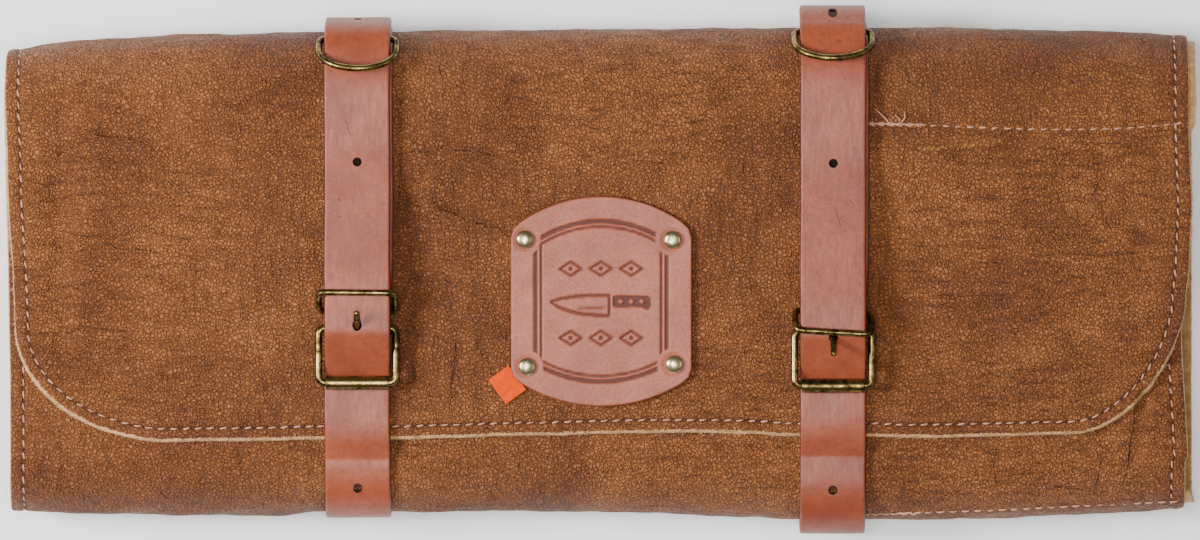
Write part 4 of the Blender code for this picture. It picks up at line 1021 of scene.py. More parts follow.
def build_buckle(side):
    """The wire frame, keeper, prong and turned roller of one buckle."""
    middle = STRAP_X[side]
    rise = (ROLLER_HEIGHT - HINGE_HEIGHT) / FRAME_BAR_REACH
    loop = rounded_loop(FRAME_WIDTH - FRAME_WIRE, FRAME_REACH, FRAME_CORNER)
    reach = (loop[:, 1] - FRAME_REACH / 2) * FRAME_BAR_REACH / FRAME_REACH
    path = np.column_stack([middle + loop[:, 0], from_hinge(side, reach, -reach * rise)])
    plane = np.cross(path[20] - path[0], path[50] - path[0])
    thick = FRAME_WIRE / 2 * (1 + 0.03 * waves(path[:, 0], path[:, 1], 51, 0.008, 0.03))
    add_wire(f"frame_wire_{side}", f"buckle_frame_{side}", path, thick, 20, True, plane)

    foot, head, up = keeper_foot(side), keeper_head(side), keeper_rise()
    turn = math.radians(KEEPER_TURN_DEG[side])
    height = math.hypot(up, head - foot)
    loop = rounded_loop(KEEPER_WIDTH - KEEPER_WIRE, height, KEEPER_CORNER)
    share = loop[:, 1] / height + 0.5
    along = mix(foot, head, share) + loop[:, 0] * math.sin(turn)
    path = np.column_stack([middle + loop[:, 0], from_hinge(side, along, up * share)])
    plane = np.cross(path[20] - path[0], path[50] - path[0])
    thick = KEEPER_WIRE / 2 * (1 + 0.03 * waves(path[:, 0], path[:, 1], 53, 0.008, 0.03))
    add_wire(f"keeper_wire_{side}", f"buckle_keeper_{side}", path, thick, 20, True, plane)

    radius = FRAME_WIRE / 2 + GAP + PRONG_WIRE / 2
    base, direction = prong_line(side)
    y, z = hinge_point(side)
    start = math.radians(PRONG_LEAN_DEG[side]) + PRONG_SIDE[side] * math.pi / 2
    angle = start + PRONG_SIDE[side] * np.radians(np.linspace(285, 0, 40))
    eye = np.column_stack([np.full(40, middle), y + radius * np.cos(angle), z + radius * np.sin(angle)])
    shank = base + np.linspace(0, PRONG_LENGTH[side], 20)[1:, None] * direction
    path = np.concatenate([eye, shank])
    left = np.linalg.norm(path - path[-1], axis=1)
    blunt = np.sqrt(np.clip(1 - (1 - left / (0.9 * MM)).clip(0, 1) ** 2, 0.0, 1.0))
    thick = PRONG_WIRE / 2 * np.where(np.arange(len(path)) > 45, blunt, 1.0)
    thick = np.maximum(thick * (1 - 0.12 * ease((0.006 - left) / 0.006)), 0.15 * MM)
    add_wire(f"prong_wire_{side}", f"buckle_prong_{side}", path, thick, 18, False, (1, 0, 0))

    inner = FRAME_WIRE / 2 + ROLLER_CLEARANCE
    outer = ROLLER_DIAMETER / 2
    half = ROLLER_LENGTH / 2
    lip = np.radians(np.linspace(0, 90, 6))
    soft = 0.45 * MM
    upper = [(outer - soft + soft * math.cos(a), half - soft + soft * math.sin(a)) for a in lip]
    lower = [(r, -h) for r, h in upper[::-1]]
    wall = [(outer, h) for h in np.linspace(half - soft, -half + soft, 12)[1:-1]]
    profile = [(inner, half - 0.1 * MM), *upper[::-1], *wall, *lower[::-1], (inner, -half + 0.1 * MM)]
    points, index = turned(profile, 48)
    faces = faces_of(np.concatenate([index, index[:1]]))
    roller = from_hinge(side, -FRAME_BAR_REACH, ROLLER_HEIGHT - HINGE_HEIGHT)
    points = points[:, [2, 0, 1]] + np.array([middle, *roller])
    add_piece(
        f"roller_sleeve_{side}", points, outwards(points, faces), LOOKS["brass"],
        body=f"roller_{side}", replaces=(f"buckle_roller_{side}",),
    )


def build_ring(side):
    """The D-ring: straight bar, small corners, short legs and an elliptical bow."""
    sizes = roll_sizes(STRAP_X[side])
    y, z = on_turn(sizes, "top", ring_share(side, sizes), ring_outwards())
    half = (RING_WIDTH - RING_WIRE) / 2
    legs = RING_REACH - RING_BOW_REACH
    bow = np.linspace(0, math.pi, 60)
    corner = np.radians(np.linspace(0, 90, 8))
    inner = half - RING_CORNER
    outline = np.concatenate([
        np.column_stack([half * np.cos(bow), legs + RING_BOW_REACH * np.sin(bow)]),
        np.column_stack([-inner - RING_CORNER * np.cos(corner), RING_CORNER * (1 - np.sin(corner))]),
        np.column_stack([inner + RING_CORNER * np.sin(corner), RING_CORNER * (1 - np.cos(corner))]),
    ])
    outline = respace(np.concatenate([outline, outline[:1]]), 141)[:-1]
    steep = math.radians(RING_STEEPNESS_DEG[side])
    across, up = outline.T
    path = np.column_stack([STRAP_X[side] + across, y - up * math.cos(steep), z + up * math.sin(steep)])
    thick = RING_WIRE / 2 * (1 + 0.03 * waves(path[:, 0], path[:, 1], 55, 0.008, 0.03))
    plane = (0, math.sin(steep), math.cos(steep))
    add_wire(f"ring_wire_{side}", f"d_ring_{side}", path, thick, 20, True, plane)


# Patch, rivets and tab


def patch_place(points):
    """Points of the patch's own flat frame set on the flap."""
    sizes = roll_sizes(PATCH_CENTRE[0])
    low = on_front(sizes, PATCH_CENTRE[1] - PATCH_SIDE / 2, LAYER_PITCH)
    high = on_front(sizes, PATCH_CENTRE[1] + PATCH_SIDE / 2, LAYER_PITCH)
    slope = math.atan2(high[1] - low[1], high[0] - low[0])
    middle = on_front(sizes, PATCH_CENTRE[1], LAYER_PITCH)
    return points @ tilted(slope).T + np.array([PATCH_CENTRE[0], *middle])


def bulge(x, width, rise):
    """Height of a circular arc over its chord."""
    radius = ((width / 2) ** 2 + rise**2) / (2 * rise)
    return np.sqrt(radius**2 - x**2) - radius + rise


def pressed(apart, half, soft=0.35 * MM):
    """1 inside a pressed line of the given half width, falling softly to 0 beside it."""
    return 1 - ease((np.abs(apart) - half + soft / 2) / soft)


def depth_inside(x, y, corners):
    """How deep each point lies inside a many-sided outline given in millimetres, below 0 outside it."""
    corners = np.array(corners) * MM
    nearest = np.full(x.shape, np.inf)
    inside = np.zeros(x.shape, bool)
    for first, second in zip(corners, np.roll(corners, -1, axis=0)):
        nearest = np.minimum(nearest, away_from(x, y, first, second))
        spans = (first[1] > y) != (second[1] > y)
        rise = np.where(abs(second[1] - first[1]) < 1e-12, 1.0, second[1] - first[1])
        inside ^= spans & (x < first[0] + (y - first[1]) * (second[0] - first[0]) / rise)
    return np.where(inside, nearest, -nearest)


BLADE_OUTLINE = (
    (-21.5, 0.6), (-18.5, -1.6), (-14.0, -3.4), (-8.5, -4.6), (-2.0, -5.2), (3.0, -5.3), (3.6, -4.8),
    (3.6, 3.2), (-4.0, 3.3), (-11.0, 2.9), (-17.0, 2.0),
)
HANDLE_OUTLINE = (
    (5.0, 3.0), (5.0, -1.4), (9.0, -1.9), (13.0, -1.5), (17.0, -1.7), (20.3, -2.8), (21.6, -1.2),
    (21.4, 1.8), (20.0, 3.0), (12.0, 3.2),
)


def patch_motif(x, y, edge):
    """Pressed pattern of the patch, from 0 to 1: a double border that follows the outline, broken at
    the rivets, a plain cook's knife lying level with a solid handle, and lozenges over and under it."""
    rivets = [(share[0] * PATCH_WIDTH, share[1] * PATCH_SIDE) for share in RIVETS.values()]
    clear = np.min([np.hypot(x - rx, y - ry) for rx, ry in rivets], axis=0)
    border = np.maximum(pressed(edge - 0.0108, 0.85 * MM), pressed(edge - 0.0131, 0.45 * MM))
    border = border * ease((clear - 0.0068) / 0.0008)
    blade = depth_inside(x, y, BLADE_OUTLINE)
    outline = pressed(blade, 0.55 * MM)
    bevel = pressed(y + 0.0021 - 0.05 * (x + 0.004), 0.22 * MM) * ease((blade - 0.0014) / 0.0006)
    handle = ease(depth_inside(x, y, HANDLE_OUTLINE) / (0.35 * MM) + 0.5)
    dots = np.min([np.hypot(x - place, y - 0.0007) for place in (0.0085, 0.0130, 0.0175)], axis=0)
    handle = handle * ease((dots - 0.75 * MM) / (0.3 * MM))
    lozenges = 0.0
    for row in (-0.0150, 0.0148):
        for place in (-0.0130, 0.0, 0.0130):
            apart = np.abs(x - place) / 0.0046 + np.abs(y - row) / 0.0030
            lozenges = np.maximum(lozenges, pressed((apart - 1) * 0.0026, 0.48 * MM))
            dot = 1 - ease((np.hypot(x - place, y - row) - 0.7 * MM) / (0.35 * MM))
            lozenges = np.maximum(lozenges, dot)
    return np.maximum.reduce([border, outline, bevel, handle, lozenges])


def build_patch():
    """A grid over the patch between its two bulged ends, with a pressed motif and a sunken ring round each
    rivet's seat."""
    rim = np.array([0, 0.15, 0.35, 0.6, 1.0, 1.5]) * MM
    half = PATCH_WIDTH / 2
    across = np.concatenate([-half + rim, np.linspace(-half + 0.002, half - 0.002, 150), (half - rim)[::-1]])
    tall = PATCH_SIDE + PATCH_TOP_BULGE + PATCH_BOTTOM_BULGE
    inner = rim / tall
    v = np.concatenate([inner, np.linspace(0.002 / tall, 1 - 0.002 / tall, 170), 1 - inner[::-1]])
    low = -PATCH_SIDE / 2 - bulge(across, PATCH_WIDTH, PATCH_BOTTOM_BULGE)
    high = PATCH_SIDE / 2 + bulge(across, PATCH_WIDTH, PATCH_TOP_BULGE)
    x = np.broadcast_to(across, (len(v), len(across)))
    y = mix(low[None], high[None], v[:, None])
    shoulder = ease((np.abs(x) - half + 0.006) / 0.006) * ease((np.abs(y) - PATCH_SIDE / 2 + 0.004) / 0.004)
    x = x - np.sign(x) * 1.0 * MM * shoulder
    low_radius = ((PATCH_WIDTH / 2) ** 2 + PATCH_BOTTOM_BULGE**2) / (2 * PATCH_BOTTOM_BULGE)
    high_radius = ((PATCH_WIDTH / 2) ** 2 + PATCH_TOP_BULGE**2) / (2 * PATCH_TOP_BULGE)
    to_low = low_radius - np.hypot(x, y + PATCH_SIDE / 2 + PATCH_BOTTOM_BULGE - low_radius)
    to_high = high_radius - np.hypot(x, y - PATCH_SIDE / 2 - PATCH_TOP_BULGE + high_radius)
    to_side = np.broadcast_to(half - np.abs(across), x.shape)
    edge = np.minimum(np.minimum(to_side, np.minimum(to_low, to_high)), np.minimum(v, 1 - v)[:, None] * tall)
    edge = np.maximum(edge, 0.0)
    edge[0], edge[-1], edge[:, 0], edge[:, -1] = 0.0, 0.0, 0.0, 0.0
    press = patch_motif(x, y, edge)
    relief = 0.12 * MM * waves(x, y, 61, 0.010, 0.034) - 0.55 * MM * press
    for share in RIVETS.values():
        apart = np.hypot(x - share[0] * PATCH_WIDTH, y - share[1] * PATCH_SIDE)
        relief = relief - 0.35 * MM * np.exp(-(((apart - 0.0038) / 0.0011) ** 2))
    flat = np.stack([x, y, np.full(x.shape, GAP + PATCH_THICKNESS)], axis=-1).reshape(-1, 3)
    index = np.arange(x.size).reshape(x.shape)
    faces = faces_of(index)
    made = close_sheet(patch_place(flat), faces, edge.ravel(), PATCH_THICKNESS, 0.8 * MM, relief.ravel())
    inner = edge.ravel() > 1e-9
    press = np.concatenate([press.ravel(), 0 * press.ravel()[inner]])
    marks = {"edge": made[2] / MM, "flesh": made[3], "press": press}
    add_piece(
        "patch_hide", made[0], made[1], LOOKS["patch"], replaces=("patch",), marks=marks
    )


def build_rivets():
    """Domed caps: an elliptic dome over a rounded rim, turned, with a shank and a washer behind."""
    head = RIVET_HEAD / 2
    above = GAP + PATCH_THICKNESS + GAP
    below = -LEATHER - GAP
    angle = np.radians(np.linspace(0, 78, 14))
    rim_height = 0.45 * MM
    rise = above + rim_height + (RIVET_DOME - rim_height) * np.cos(angle)
    dome = list(zip(head * 0.93 * np.sin(angle), rise))
    dome[0] = (1e-6, dome[0][1])
    lip = [
        (head * 0.97, above + 0.62 * MM), (head, above + 0.40 * MM),
        (head * 0.985, above + 0.12 * MM), (head * 0.93, above - 0.05 * MM),
    ]
    washer = below - 0.9 * MM
    shank = [(0.0012, above - 0.05 * MM), (0.0012, below), (0.0033, below), (0.0033, washer), (1e-6, washer)]
    for number, (name, share) in enumerate(RIVETS.items()):
        points, index = turned(dome + lip + shank, 40)
        faces = faces_of(index)
        tilt = 0.05 * math.sin(2.1 * number + 0.4)
        points[:, 2] += points[:, 0] * tilt * (points[:, 2] > above - 0.1 * MM)
        dents = waves(points[:, 0], points[:, 1], 71 + number, 0.003, 0.008)
        points[:, 2] += 0.05 * MM * dents * (points[:, 2] > above + 0.3 * MM)
        centre = np.array([share[0] * PATCH_WIDTH, share[1] * PATCH_SIDE, 0.0])
        ends = [index[0, :-1], index[-1, :-1]]
        poles = np.array([points[end].mean(axis=0) for end in ends])
        faces = np.concatenate([faces, pole_fans(index, len(points))])
        points = patch_place(np.concatenate([points, poles]) + centre)
        add_piece(
            f"{name}_cap", points, outwards(points, faces), LOOKS["rivet"], replaces=(name,)
        )


def build_tab():
    """The small tab: a thin square sheet with a faint curl, held under the patch by one corner."""
    rim = np.array([0, 0.12, 0.3, 0.6]) * MM
    half_x, half_y = TAB_SIZE[0] / 2, TAB_SIZE[1] / 2
    lines = []
    for half, count in ((half_x, 14), (half_y, 16)):
        inner = np.linspace(-half + MM, half - MM, count)
        lines.append(np.concatenate([-half + rim, inner, (half - rim)[::-1]]))
    x, y = np.meshgrid(*lines)
    edge = np.minimum(half_x - np.abs(x), half_y - np.abs(y))
    edge = np.maximum(edge, 0.0)
    edge[0], edge[-1], edge[:, 0], edge[:, -1] = 0.0, 0.0, 0.0, 0.0
    turn = math.radians(TAB_TURN_DEG)
    offset = np.subtract(TAB_CENTRE, PATCH_CENTRE)
    flat_x = offset[0] + x * math.cos(turn) - y * math.sin(turn)
    flat_y = offset[1] + x * math.sin(turn) + y * math.cos(turn)
    curl = 0.30 * MM * ease((-flat_x - half_x * 7.0) / 0.008)
    lift = GAP + TAB_THICKNESS + curl + 0.06 * MM * waves(x, y, 81, 0.004, 0.012)
    index = np.arange(x.size).reshape(x.shape)
    points = patch_place(np.stack([flat_x, flat_y, lift], axis=-1).reshape(-1, 3))
    made = close_sheet(points, faces_of(index), edge.ravel(), TAB_THICKNESS, 0.35 * MM)
    marks = {"edge": made[2] / MM, "flesh": made[3]}
    add_piece("tab_scrap", made[0], made[1], LOOKS["tab"], replaces=("tab",), marks=marks)


# Sewing thread and loose fibres


def stitch_shape():
    """One stitch in its own frame: a thread over a low hump, u along it and v round it."""
    sides, rings = 6, 7
    u = np.linspace(0, 1, rings)
    fat = THREAD / 2 * np.array([0.35, 0.85, 1.0, 1.05, 1.0, 0.85, 0.35])
    along = (u - 0.5) * STITCH_LENGTH
    hump = 0.42 * MM * np.sin(math.pi * u) ** 0.7 - 0.22 * MM
    angle = np.linspace(0, 2 * math.pi, sides, endpoint=False)
    points = np.stack([
        np.broadcast_to(along[:, None], (rings, sides)),
        fat[:, None] * np.cos(angle)[None],
        hump[:, None] + fat[:, None] * np.sin(angle)[None],
    ], axis=-1).reshape(-1, 3)
    uv = np.stack(np.broadcast_arrays(u[:, None], angle[None] / (2 * math.pi)), axis=-1).reshape(-1, 2)
    index = np.arange(rings * sides).reshape(rings, sides)
    index = np.concatenate([index, index[:, :1]], axis=1)
    faces = np.concatenate([faces_of(index), pole_fans(index, len(points))])
    points = np.concatenate([points, [[along[0], 0, hump[0]], [along[-1], 0, hump[-1]]]])
    uv = np.concatenate([uv, [[0, 0.5], [1, 0.5]]])
    return points, outwards(points, faces), uv


def place_copies(shape, origins, ahead, normals, scale):
    """Copies of a small shape, each in the frame of its tangent, its side and its normal."""
    points, faces, uv = shape
    side = unit(np.cross(normals, ahead))
    up = np.cross(ahead, side)
    local = points[None] * scale[:, None]
    placed = origins[:, None] + local[..., :1] * ahead[:, None]
    placed = placed + local[..., 1:2] * side[:, None] + local[..., 2:] * up[:, None]
    shifts = (np.arange(len(origins)) * len(points))[:, None, None]
    numbers = np.where(faces[None] < 0, -1, faces[None] + shifts)
    return placed.reshape(-1, 3), numbers.reshape(-1, 4), np.tile(uv, (len(origins), 1))


def sew(line, normals, seed, slant_deg=9.0, pitch=STITCH_PITCH):
    """Stitches at an even pitch along a line, each turned a little from it as hand sewing is."""
    dice = np.random.default_rng(seed)
    along = distance_along(line)
    wanted = np.arange(pitch / 2, along[-1], pitch)
    wanted = wanted + dice.normal(0, 0.12 * MM, len(wanted))
    origin = read_along(wanted, along, line)
    up = unit(read_along(wanted, along, normals))
    ahead = unit(read_along(wanted + MM, along, line) - read_along(wanted - MM, along, line))
    side = unit(np.cross(up, ahead))
    slant = np.radians(dice.normal(slant_deg, 3.0, len(wanted)))[:, None]
    ahead = unit(ahead * np.cos(slant) + side * np.sin(slant))
    scale = np.column_stack([dice.normal(1, spread, len(wanted)) for spread in (0.05, 0.07, 0.07)])
    return origin, ahead, up, scale


def front_line(seam, step=MM):
    """A sewn line on the front as points and normals: on the flap above its edge, else on the panel."""
    xs, ys = np.array([at_pixel(*point) for point in seam]).T
    x = np.arange(xs[0], xs[-1], step)
    smooth = np.polynomial.Polynomial.fit(xs, ys, 3)
    y = smooth(x)

    def surface(x, y):
        sizes = roll_sizes(x)
        on_flap = y > sizes.edge
        y_turn = sizes.bottom + sizes.low / 2
        angle = np.arcsin(np.clip((y_turn - y) / (sizes.low / 2), 0, 0.985))
        turn_z = sizes.low / 2 * (1 + np.cos(angle))
        flat = on_front(sizes, np.maximum(y, y_turn), np.where(on_flap, LAYER_PITCH, 0.0))[1]
        return np.where(y < y_turn, turn_z, flat + front_relief(x, y))

    z = surface(x, y)
    slope_x = (surface(x + MM, y) - surface(x - MM, y)) / (2 * MM)
    slope_y = (surface(x, y + MM) - surface(x, y - MM)) / (2 * MM)
    normals = unit(np.column_stack([-slope_x, -slope_y, np.ones(len(x))]))
    return np.column_stack([x, y, z]), normals


LOOSE_ENDS = (((889, 123), (875, 109), 1.2), ((899, 121), (895, 115), 1.6), ((901, 122), (904, 112), 1.4))


def build_stitching(hide):
    """Every seam's stitches as one piece, back stitches at the starts of two seams, and loose ends."""
    shape = stitch_shape()
    low = SimpleNamespace(points=[], faces=[], uv=[], count=0)

    def keep_all(made):
        points, faces, uv = made
        low.points.append(points)
        low.faces.append(np.where(faces < 0, -1, faces + low.count))
        low.uv.append(uv)
        low.count += len(points)

    keep_all(place_copies(shape, *sew(*hide.seam, seed=91)))
    pocket_line, pocket_up = front_line(POCKET_SEAM)
    lower_line, lower_up = front_line(LOWER_SEAM)
    keep_all(place_copies(shape, *sew(pocket_line, pocket_up, seed=92, slant_deg=5.0)))
    keep_all(place_copies(shape, *sew(lower_line, lower_up, seed=93, slant_deg=5.0)))
    dice = np.random.default_rng(94)
    for line, up in ((pocket_line, pocket_up), (lower_line, lower_up)):
        for offset, slant in ((0.35, 16.0), (-0.40, -13.0), (0.1, 4.0)):
            start = int(dice.integers(0, 3))
            backed = line[start:26] + np.array([0, offset * MM, 0.25 * MM])
            made = sew(backed, up[start:26], seed=int(95 + slant), slant_deg=slant, pitch=0.0041)
            keep_all(place_copies(shape, *made))
    points = np.concatenate(low.points)
    points[:, 2] = np.maximum(points[:, 2], 0.0)
    faces = np.concatenate(low.faces)
    uv = np.concatenate(low.uv)
    add_piece("seam_thread", points, faces, LOOKS["thread"], uv=uv)
    tails = []
    for start, end, lift in LOOSE_ENDS:
        first, last = np.array(at_pixel(*start)), np.array(at_pixel(*end))
        share = np.linspace(0, 1, 14)
        bend = np.array([0.9, -0.5]) * MM
        flat = mix(first, last, share[:, None]) + np.sin(share * math.pi)[:, None] * bend
        x, y = flat.T
        base = on_front(roll_sizes(x), y, LAYER_PITCH)[1] + front_relief(x, y)
        z = base + 0.35 * MM + lift * MM * share**1.5 * 0.6
        path = np.column_stack([flat, z])
        tails.append(tube(path, THREAD / 2 * np.linspace(1.0, 0.55, 14), 8, False, (0.1, 0.1, 1.0)))
    count = 0
    all_points, all_faces = [], []
    for points, faces in tails:
        all_points.append(points)
        all_faces.append(np.where(faces < 0, -1, outwards(points, faces) + count))
        count += len(points)
    points = np.concatenate(all_points)
    add_piece(
        "thread_tails", points, np.concatenate(all_faces), LOOKS["thread"],
        uv=np.column_stack([points[:, 0] * 300, points[:, 1] * 300]),
    )


def build_fibres(name, line, outward, up, count, seed, longest, look):
    """Loose fibres along a cut edge: each is a tapering three-sided hair of four rings, its middle
    line bent as a parabola, at a seeded place and direction."""
    dice = np.random.default_rng(seed)
    along = distance_along(line)
    place = np.sort(dice.uniform(0, along[-1], count))
    origin, away, top = (read_along(place, along, values) for values in (line, outward, up))
    away, top = unit(away), unit(top)
    side = unit(np.cross(away, top))
    length = longest * (0.22 + 0.78 * dice.random(count) ** 6)
    heading = away + side * dice.normal(0, 0.75, count)[:, None]
    heading = unit(heading + top * dice.normal(-0.25, 0.30, count)[:, None])
    bend = unit(side * dice.normal(0, 1, count)[:, None] - top * 0.6)
    bend = bend * (length * dice.uniform(0.05, 0.45, count))[:, None]
    origin = origin - away * 0.35 * MM + top * dice.uniform(-0.9, 0.1, count)[:, None] * MM * 0.9
    share = np.array([0.0, 0.35, 0.7, 1.0])
    middle = origin[:, None] + heading[:, None] * (share * length[:, None])[..., None]
    middle = middle + bend[:, None] * (share**2)[:, None]
    fat = dice.uniform(0.08, 0.15, count)[:, None] * MM * np.array([1.0, 0.85, 0.6, 0.15])
    first = unit(np.cross(heading, top))
    second = np.cross(heading, first)
    angle = np.radians([90, 210, 330])
    ring = np.cos(angle)[:, None, None] * first + np.sin(angle)[:, None, None] * second
    points = middle[:, :, None] + fat[..., None, None] * np.moveaxis(ring, 0, 1)[:, None]
    index = np.arange(12).reshape(4, 3)
    index = np.concatenate([index, index[:, :1]], axis=1)
    faces = np.concatenate([faces_of(index), [[2, 1, 0, -1], [9, 10, 11, -1]]])
    shifts = (np.arange(count) * 12)[:, None, None]
    numbers = np.where(faces[None] < 0, -1, faces[None] + shifts).reshape(-1, 4)
    points = points.reshape(-1, 3)
    points[:, 2] = np.maximum(points[:, 2], 0.1 * MM)
    add_piece(name, points, outwards(points, numbers), look)


# Materials


def new_material(name):
    made = bpy.data.materials.new(name)
    made.use_nodes = True
    tree = made.node_tree
    return made, tree, tree.nodes["Principled BSDF"]


def node(tree, kind, **settings):
    made = tree.nodes.new(kind)
    for key, value in settings.items():
        setattr(made, key, value)
    return made


def link(tree, source, target):
    tree.links.new(source, target)


def coordinates(tree):
    return node(tree, "ShaderNodeTexCoord").outputs["Object"]


def noise(tree, coords, scale, detail=3.0, rough=0.55, distort=0.0):
    made = node(tree, "ShaderNodeTexNoise")
    link(tree, coords, made.inputs["Vector"])
    made.inputs["Scale"].default_value = scale
    made.inputs["Detail"].default_value = detail
    made.inputs["Roughness"].default_value = rough
    made.inputs["Distortion"].default_value = distort
    return made.outputs["Fac"]


def stretched(tree, coords, scale, rotation=(0, 0, 0)):
    made = node(tree, "ShaderNodeMapping")
    link(tree, coords, made.inputs["Vector"])
    made.inputs["Scale"].default_value = scale
    made.inputs["Rotation"].default_value = rotation
    return made.outputs["Vector"]


def cells(tree, coords, scale, feature="F1", randomness=1.0):
    made = node(tree, "ShaderNodeTexVoronoi", feature=feature)
    link(tree, coords, made.inputs["Vector"])
    made.inputs["Scale"].default_value = scale
    made.inputs["Randomness"].default_value = randomness
    return made.outputs["Distance"]


def warped(tree, coords, scale, amount):
    """Coordinates pushed about by a noise, so that a regular pattern grows uneven."""
    made = node(tree, "ShaderNodeTexNoise")
    link(tree, coords, made.inputs["Vector"])
    made.inputs["Scale"].default_value = scale
    made.inputs["Detail"].default_value = 2.0
    shift = node(tree, "ShaderNodeVectorMath", operation="MULTIPLY_ADD")
    link(tree, made.outputs["Color"], shift.inputs[0])
    shift.inputs[1].default_value = (amount, amount, amount)
    link(tree, coords, shift.inputs[2])
    return shift.outputs["Vector"]


def maths(tree, operation, first, second=None, clamp=False):
    made = node(tree, "ShaderNodeMath", operation=operation, use_clamp=clamp)
    for place, value in enumerate((first, second)):
        if value is None:
            continue
        if isinstance(value, (int, float)):
            made.inputs[place].default_value = value
        else:
            link(tree, value, made.inputs[place])
    return made.outputs["Value"]


def times(tree, first, second):
    return maths(tree, "MULTIPLY", first, second)


def larger(tree, first, second):
    return maths(tree, "MAXIMUM", first, second)


def ramp(tree, value, low, high, start=0.0, end=1.0, soft=True):
    """Value between low and high read as start to end."""
    made = node(tree, "ShaderNodeMapRange", interpolation_type="SMOOTHSTEP" if soft else "LINEAR")
    link(tree, value, made.inputs["Value"])
    made.inputs["From Min"].default_value = low
    made.inputs["From Max"].default_value = high
    made.inputs["To Min"].default_value = start
    made.inputs["To Max"].default_value = end
    return made.outputs["Result"]


def blend(tree, share, first, second, mode="MIX"):
    made = node(tree, "ShaderNodeMix", data_type="RGBA", blend_type=mode)
    if isinstance(share, (int, float)):
        made.inputs["Factor"].default_value = share
    else:
        link(tree, share, made.inputs["Factor"])
    for socket, value in ((made.inputs[6], first), (made.inputs[7], second)):
        if isinstance(value, tuple):
            socket.default_value = (*value, 1.0)
        else:
            link(tree, value, socket)
    return made.outputs[2]


def mark(tree, name):
    return node(tree, "ShaderNodeAttribute", attribute_name=name).outputs["Fac"]


def bump(tree, height, distance, strength=1.0, after=None):
    made = node(tree, "ShaderNodeBump")
    link(tree, height, made.inputs["Height"])
    made.inputs["Distance"].default_value = distance
    made.inputs["Strength"].default_value = strength
    if after is not None:
        link(tree, after, made.inputs["Normal"])
    return made.outputs["Normal"]


def streak(tree, coords, start, end, half, soft_ends=0.35):
    """1 along a straight streak between two pixels' places, on the front only."""
    first, last = np.array(at_pixel(*start)), np.array(at_pixel(*end))
    middle = (first + last) / 2
    reach = np.linalg.norm(last - first) / 2
    turn = math.atan2(*(last - first)[::-1])
    place = node(tree, "ShaderNodeMapping", vector_type="TEXTURE")
    link(tree, coords, place.inputs["Vector"])
    place.inputs["Location"].default_value = (middle[0], middle[1], 0.0)
    place.inputs["Rotation"].default_value = (0.0, 0.0, turn)
    parts = node(tree, "ShaderNodeSeparateXYZ")
    link(tree, place.outputs["Vector"], parts.inputs["Vector"])
    across = ramp(tree, maths(tree, "ABSOLUTE", parts.outputs["Y"]), 0.0, half, 1.0, 0.0)
    along = ramp(tree, maths(tree, "ABSOLUTE", parts.outputs["X"]), reach * (1 - soft_ends), reach, 1.0, 0.0)
    above = ramp(tree, parts.outputs["Z"], 0.030, 0.034)
    return times(tree, times(tree, across, along), above)


def raw_mask(tree, coords, name):
    """1 on the flesh side and where the named mark is under 1, with a border that wanders a little."""
    wander = noise(tree, coords, 900.0, 2.0)
    shifted = maths(tree, "ADD", mark(tree, name), ramp(tree, wander, 0.3, 0.7, -0.25, 0.25, False))
    cut_edge = ramp(tree, shifted, 0.85, 1.05, 1.0, 0.0)
    return larger(tree, cut_edge, mark(tree, "flesh"))


SUEDE = (0.700, 0.410, 0.190)
SUEDE_DARK = (0.480, 0.250, 0.100)
HIDE_LIGHT = (0.400, 0.132, 0.032)
HIDE_MIDDLE = (0.265, 0.078, 0.016)
HIDE_DARK = (0.185, 0.050, 0.009)
HIDE_PAINTED_SHADE = (0.062, 0.016, 0.003)
HIDE_RUBBED_AND_HIGHLIGHT = (0.560, 0.260, 0.110)
HIDE_SCAR = (0.720, 0.330, 0.045)
STRAP_LIGHT = (0.320, 0.062, 0.019)
STRAP_DARK = (0.220, 0.037, 0.010)
STRAP_PORE = (0.110, 0.020, 0.006)
STRAP_SCUFF = (0.055, 0.010, 0.004)
STRAP_BURNISHED = (0.070, 0.013, 0.005)
STRAP_FLESH = (0.330, 0.140, 0.070)
HOLE_PAINTED_SHADE = (0.012, 0.004, 0.002)
PATCH_DARK = (0.300, 0.064, 0.026)
PATCH_LIGHT = (0.385, 0.092, 0.040)
PATCH_GRAIN = (0.210, 0.046, 0.018)
PATCH_PORE = (0.150, 0.032, 0.012)
PATCH_PRESSED = (0.075, 0.013, 0.005)
PATCH_EDGE = (0.120, 0.026, 0.010)
BRASS_DARK = (0.036, 0.023, 0.007)
BRASS_RUBBED = (0.290, 0.200, 0.066)
RIVET_DARK = (0.360, 0.280, 0.120)
RIVET_RUBBED = (0.700, 0.600, 0.340)
THREAD_DARK = (0.460, 0.210, 0.120)
THREAD_LIGHT = (0.620, 0.320, 0.205)
THREAD_GROOVE_SHADE = (0.260, 0.110, 0.065)
TAB_DARK = (0.700, 0.052, 0.000)
TAB_LIGHT = (0.850, 0.080, 0.000)
TAB_EDGE = (0.700, 0.080, 0.001)
FIBRE_DARK = (0.520, 0.300, 0.150)
FIBRE_LIGHT = (0.700, 0.450, 0.250)


def suede_colour(tree, coords):
    tone = noise(tree, coords, 260.0, 4.0, 0.7)
    return blend(tree, ramp(tree, tone, 0.35, 0.7), SUEDE_DARK, SUEDE)


def joined_streaks(tree, coords, table):
    """The strongest of several streaks at each point: rows of start, end, half width and strength."""
    together = None
    for start, end, half, strong in table:
        one = times(tree, streak(tree, coords, start, end, half), strong)
        together = one if together is None else larger(tree, together, one)
    return together


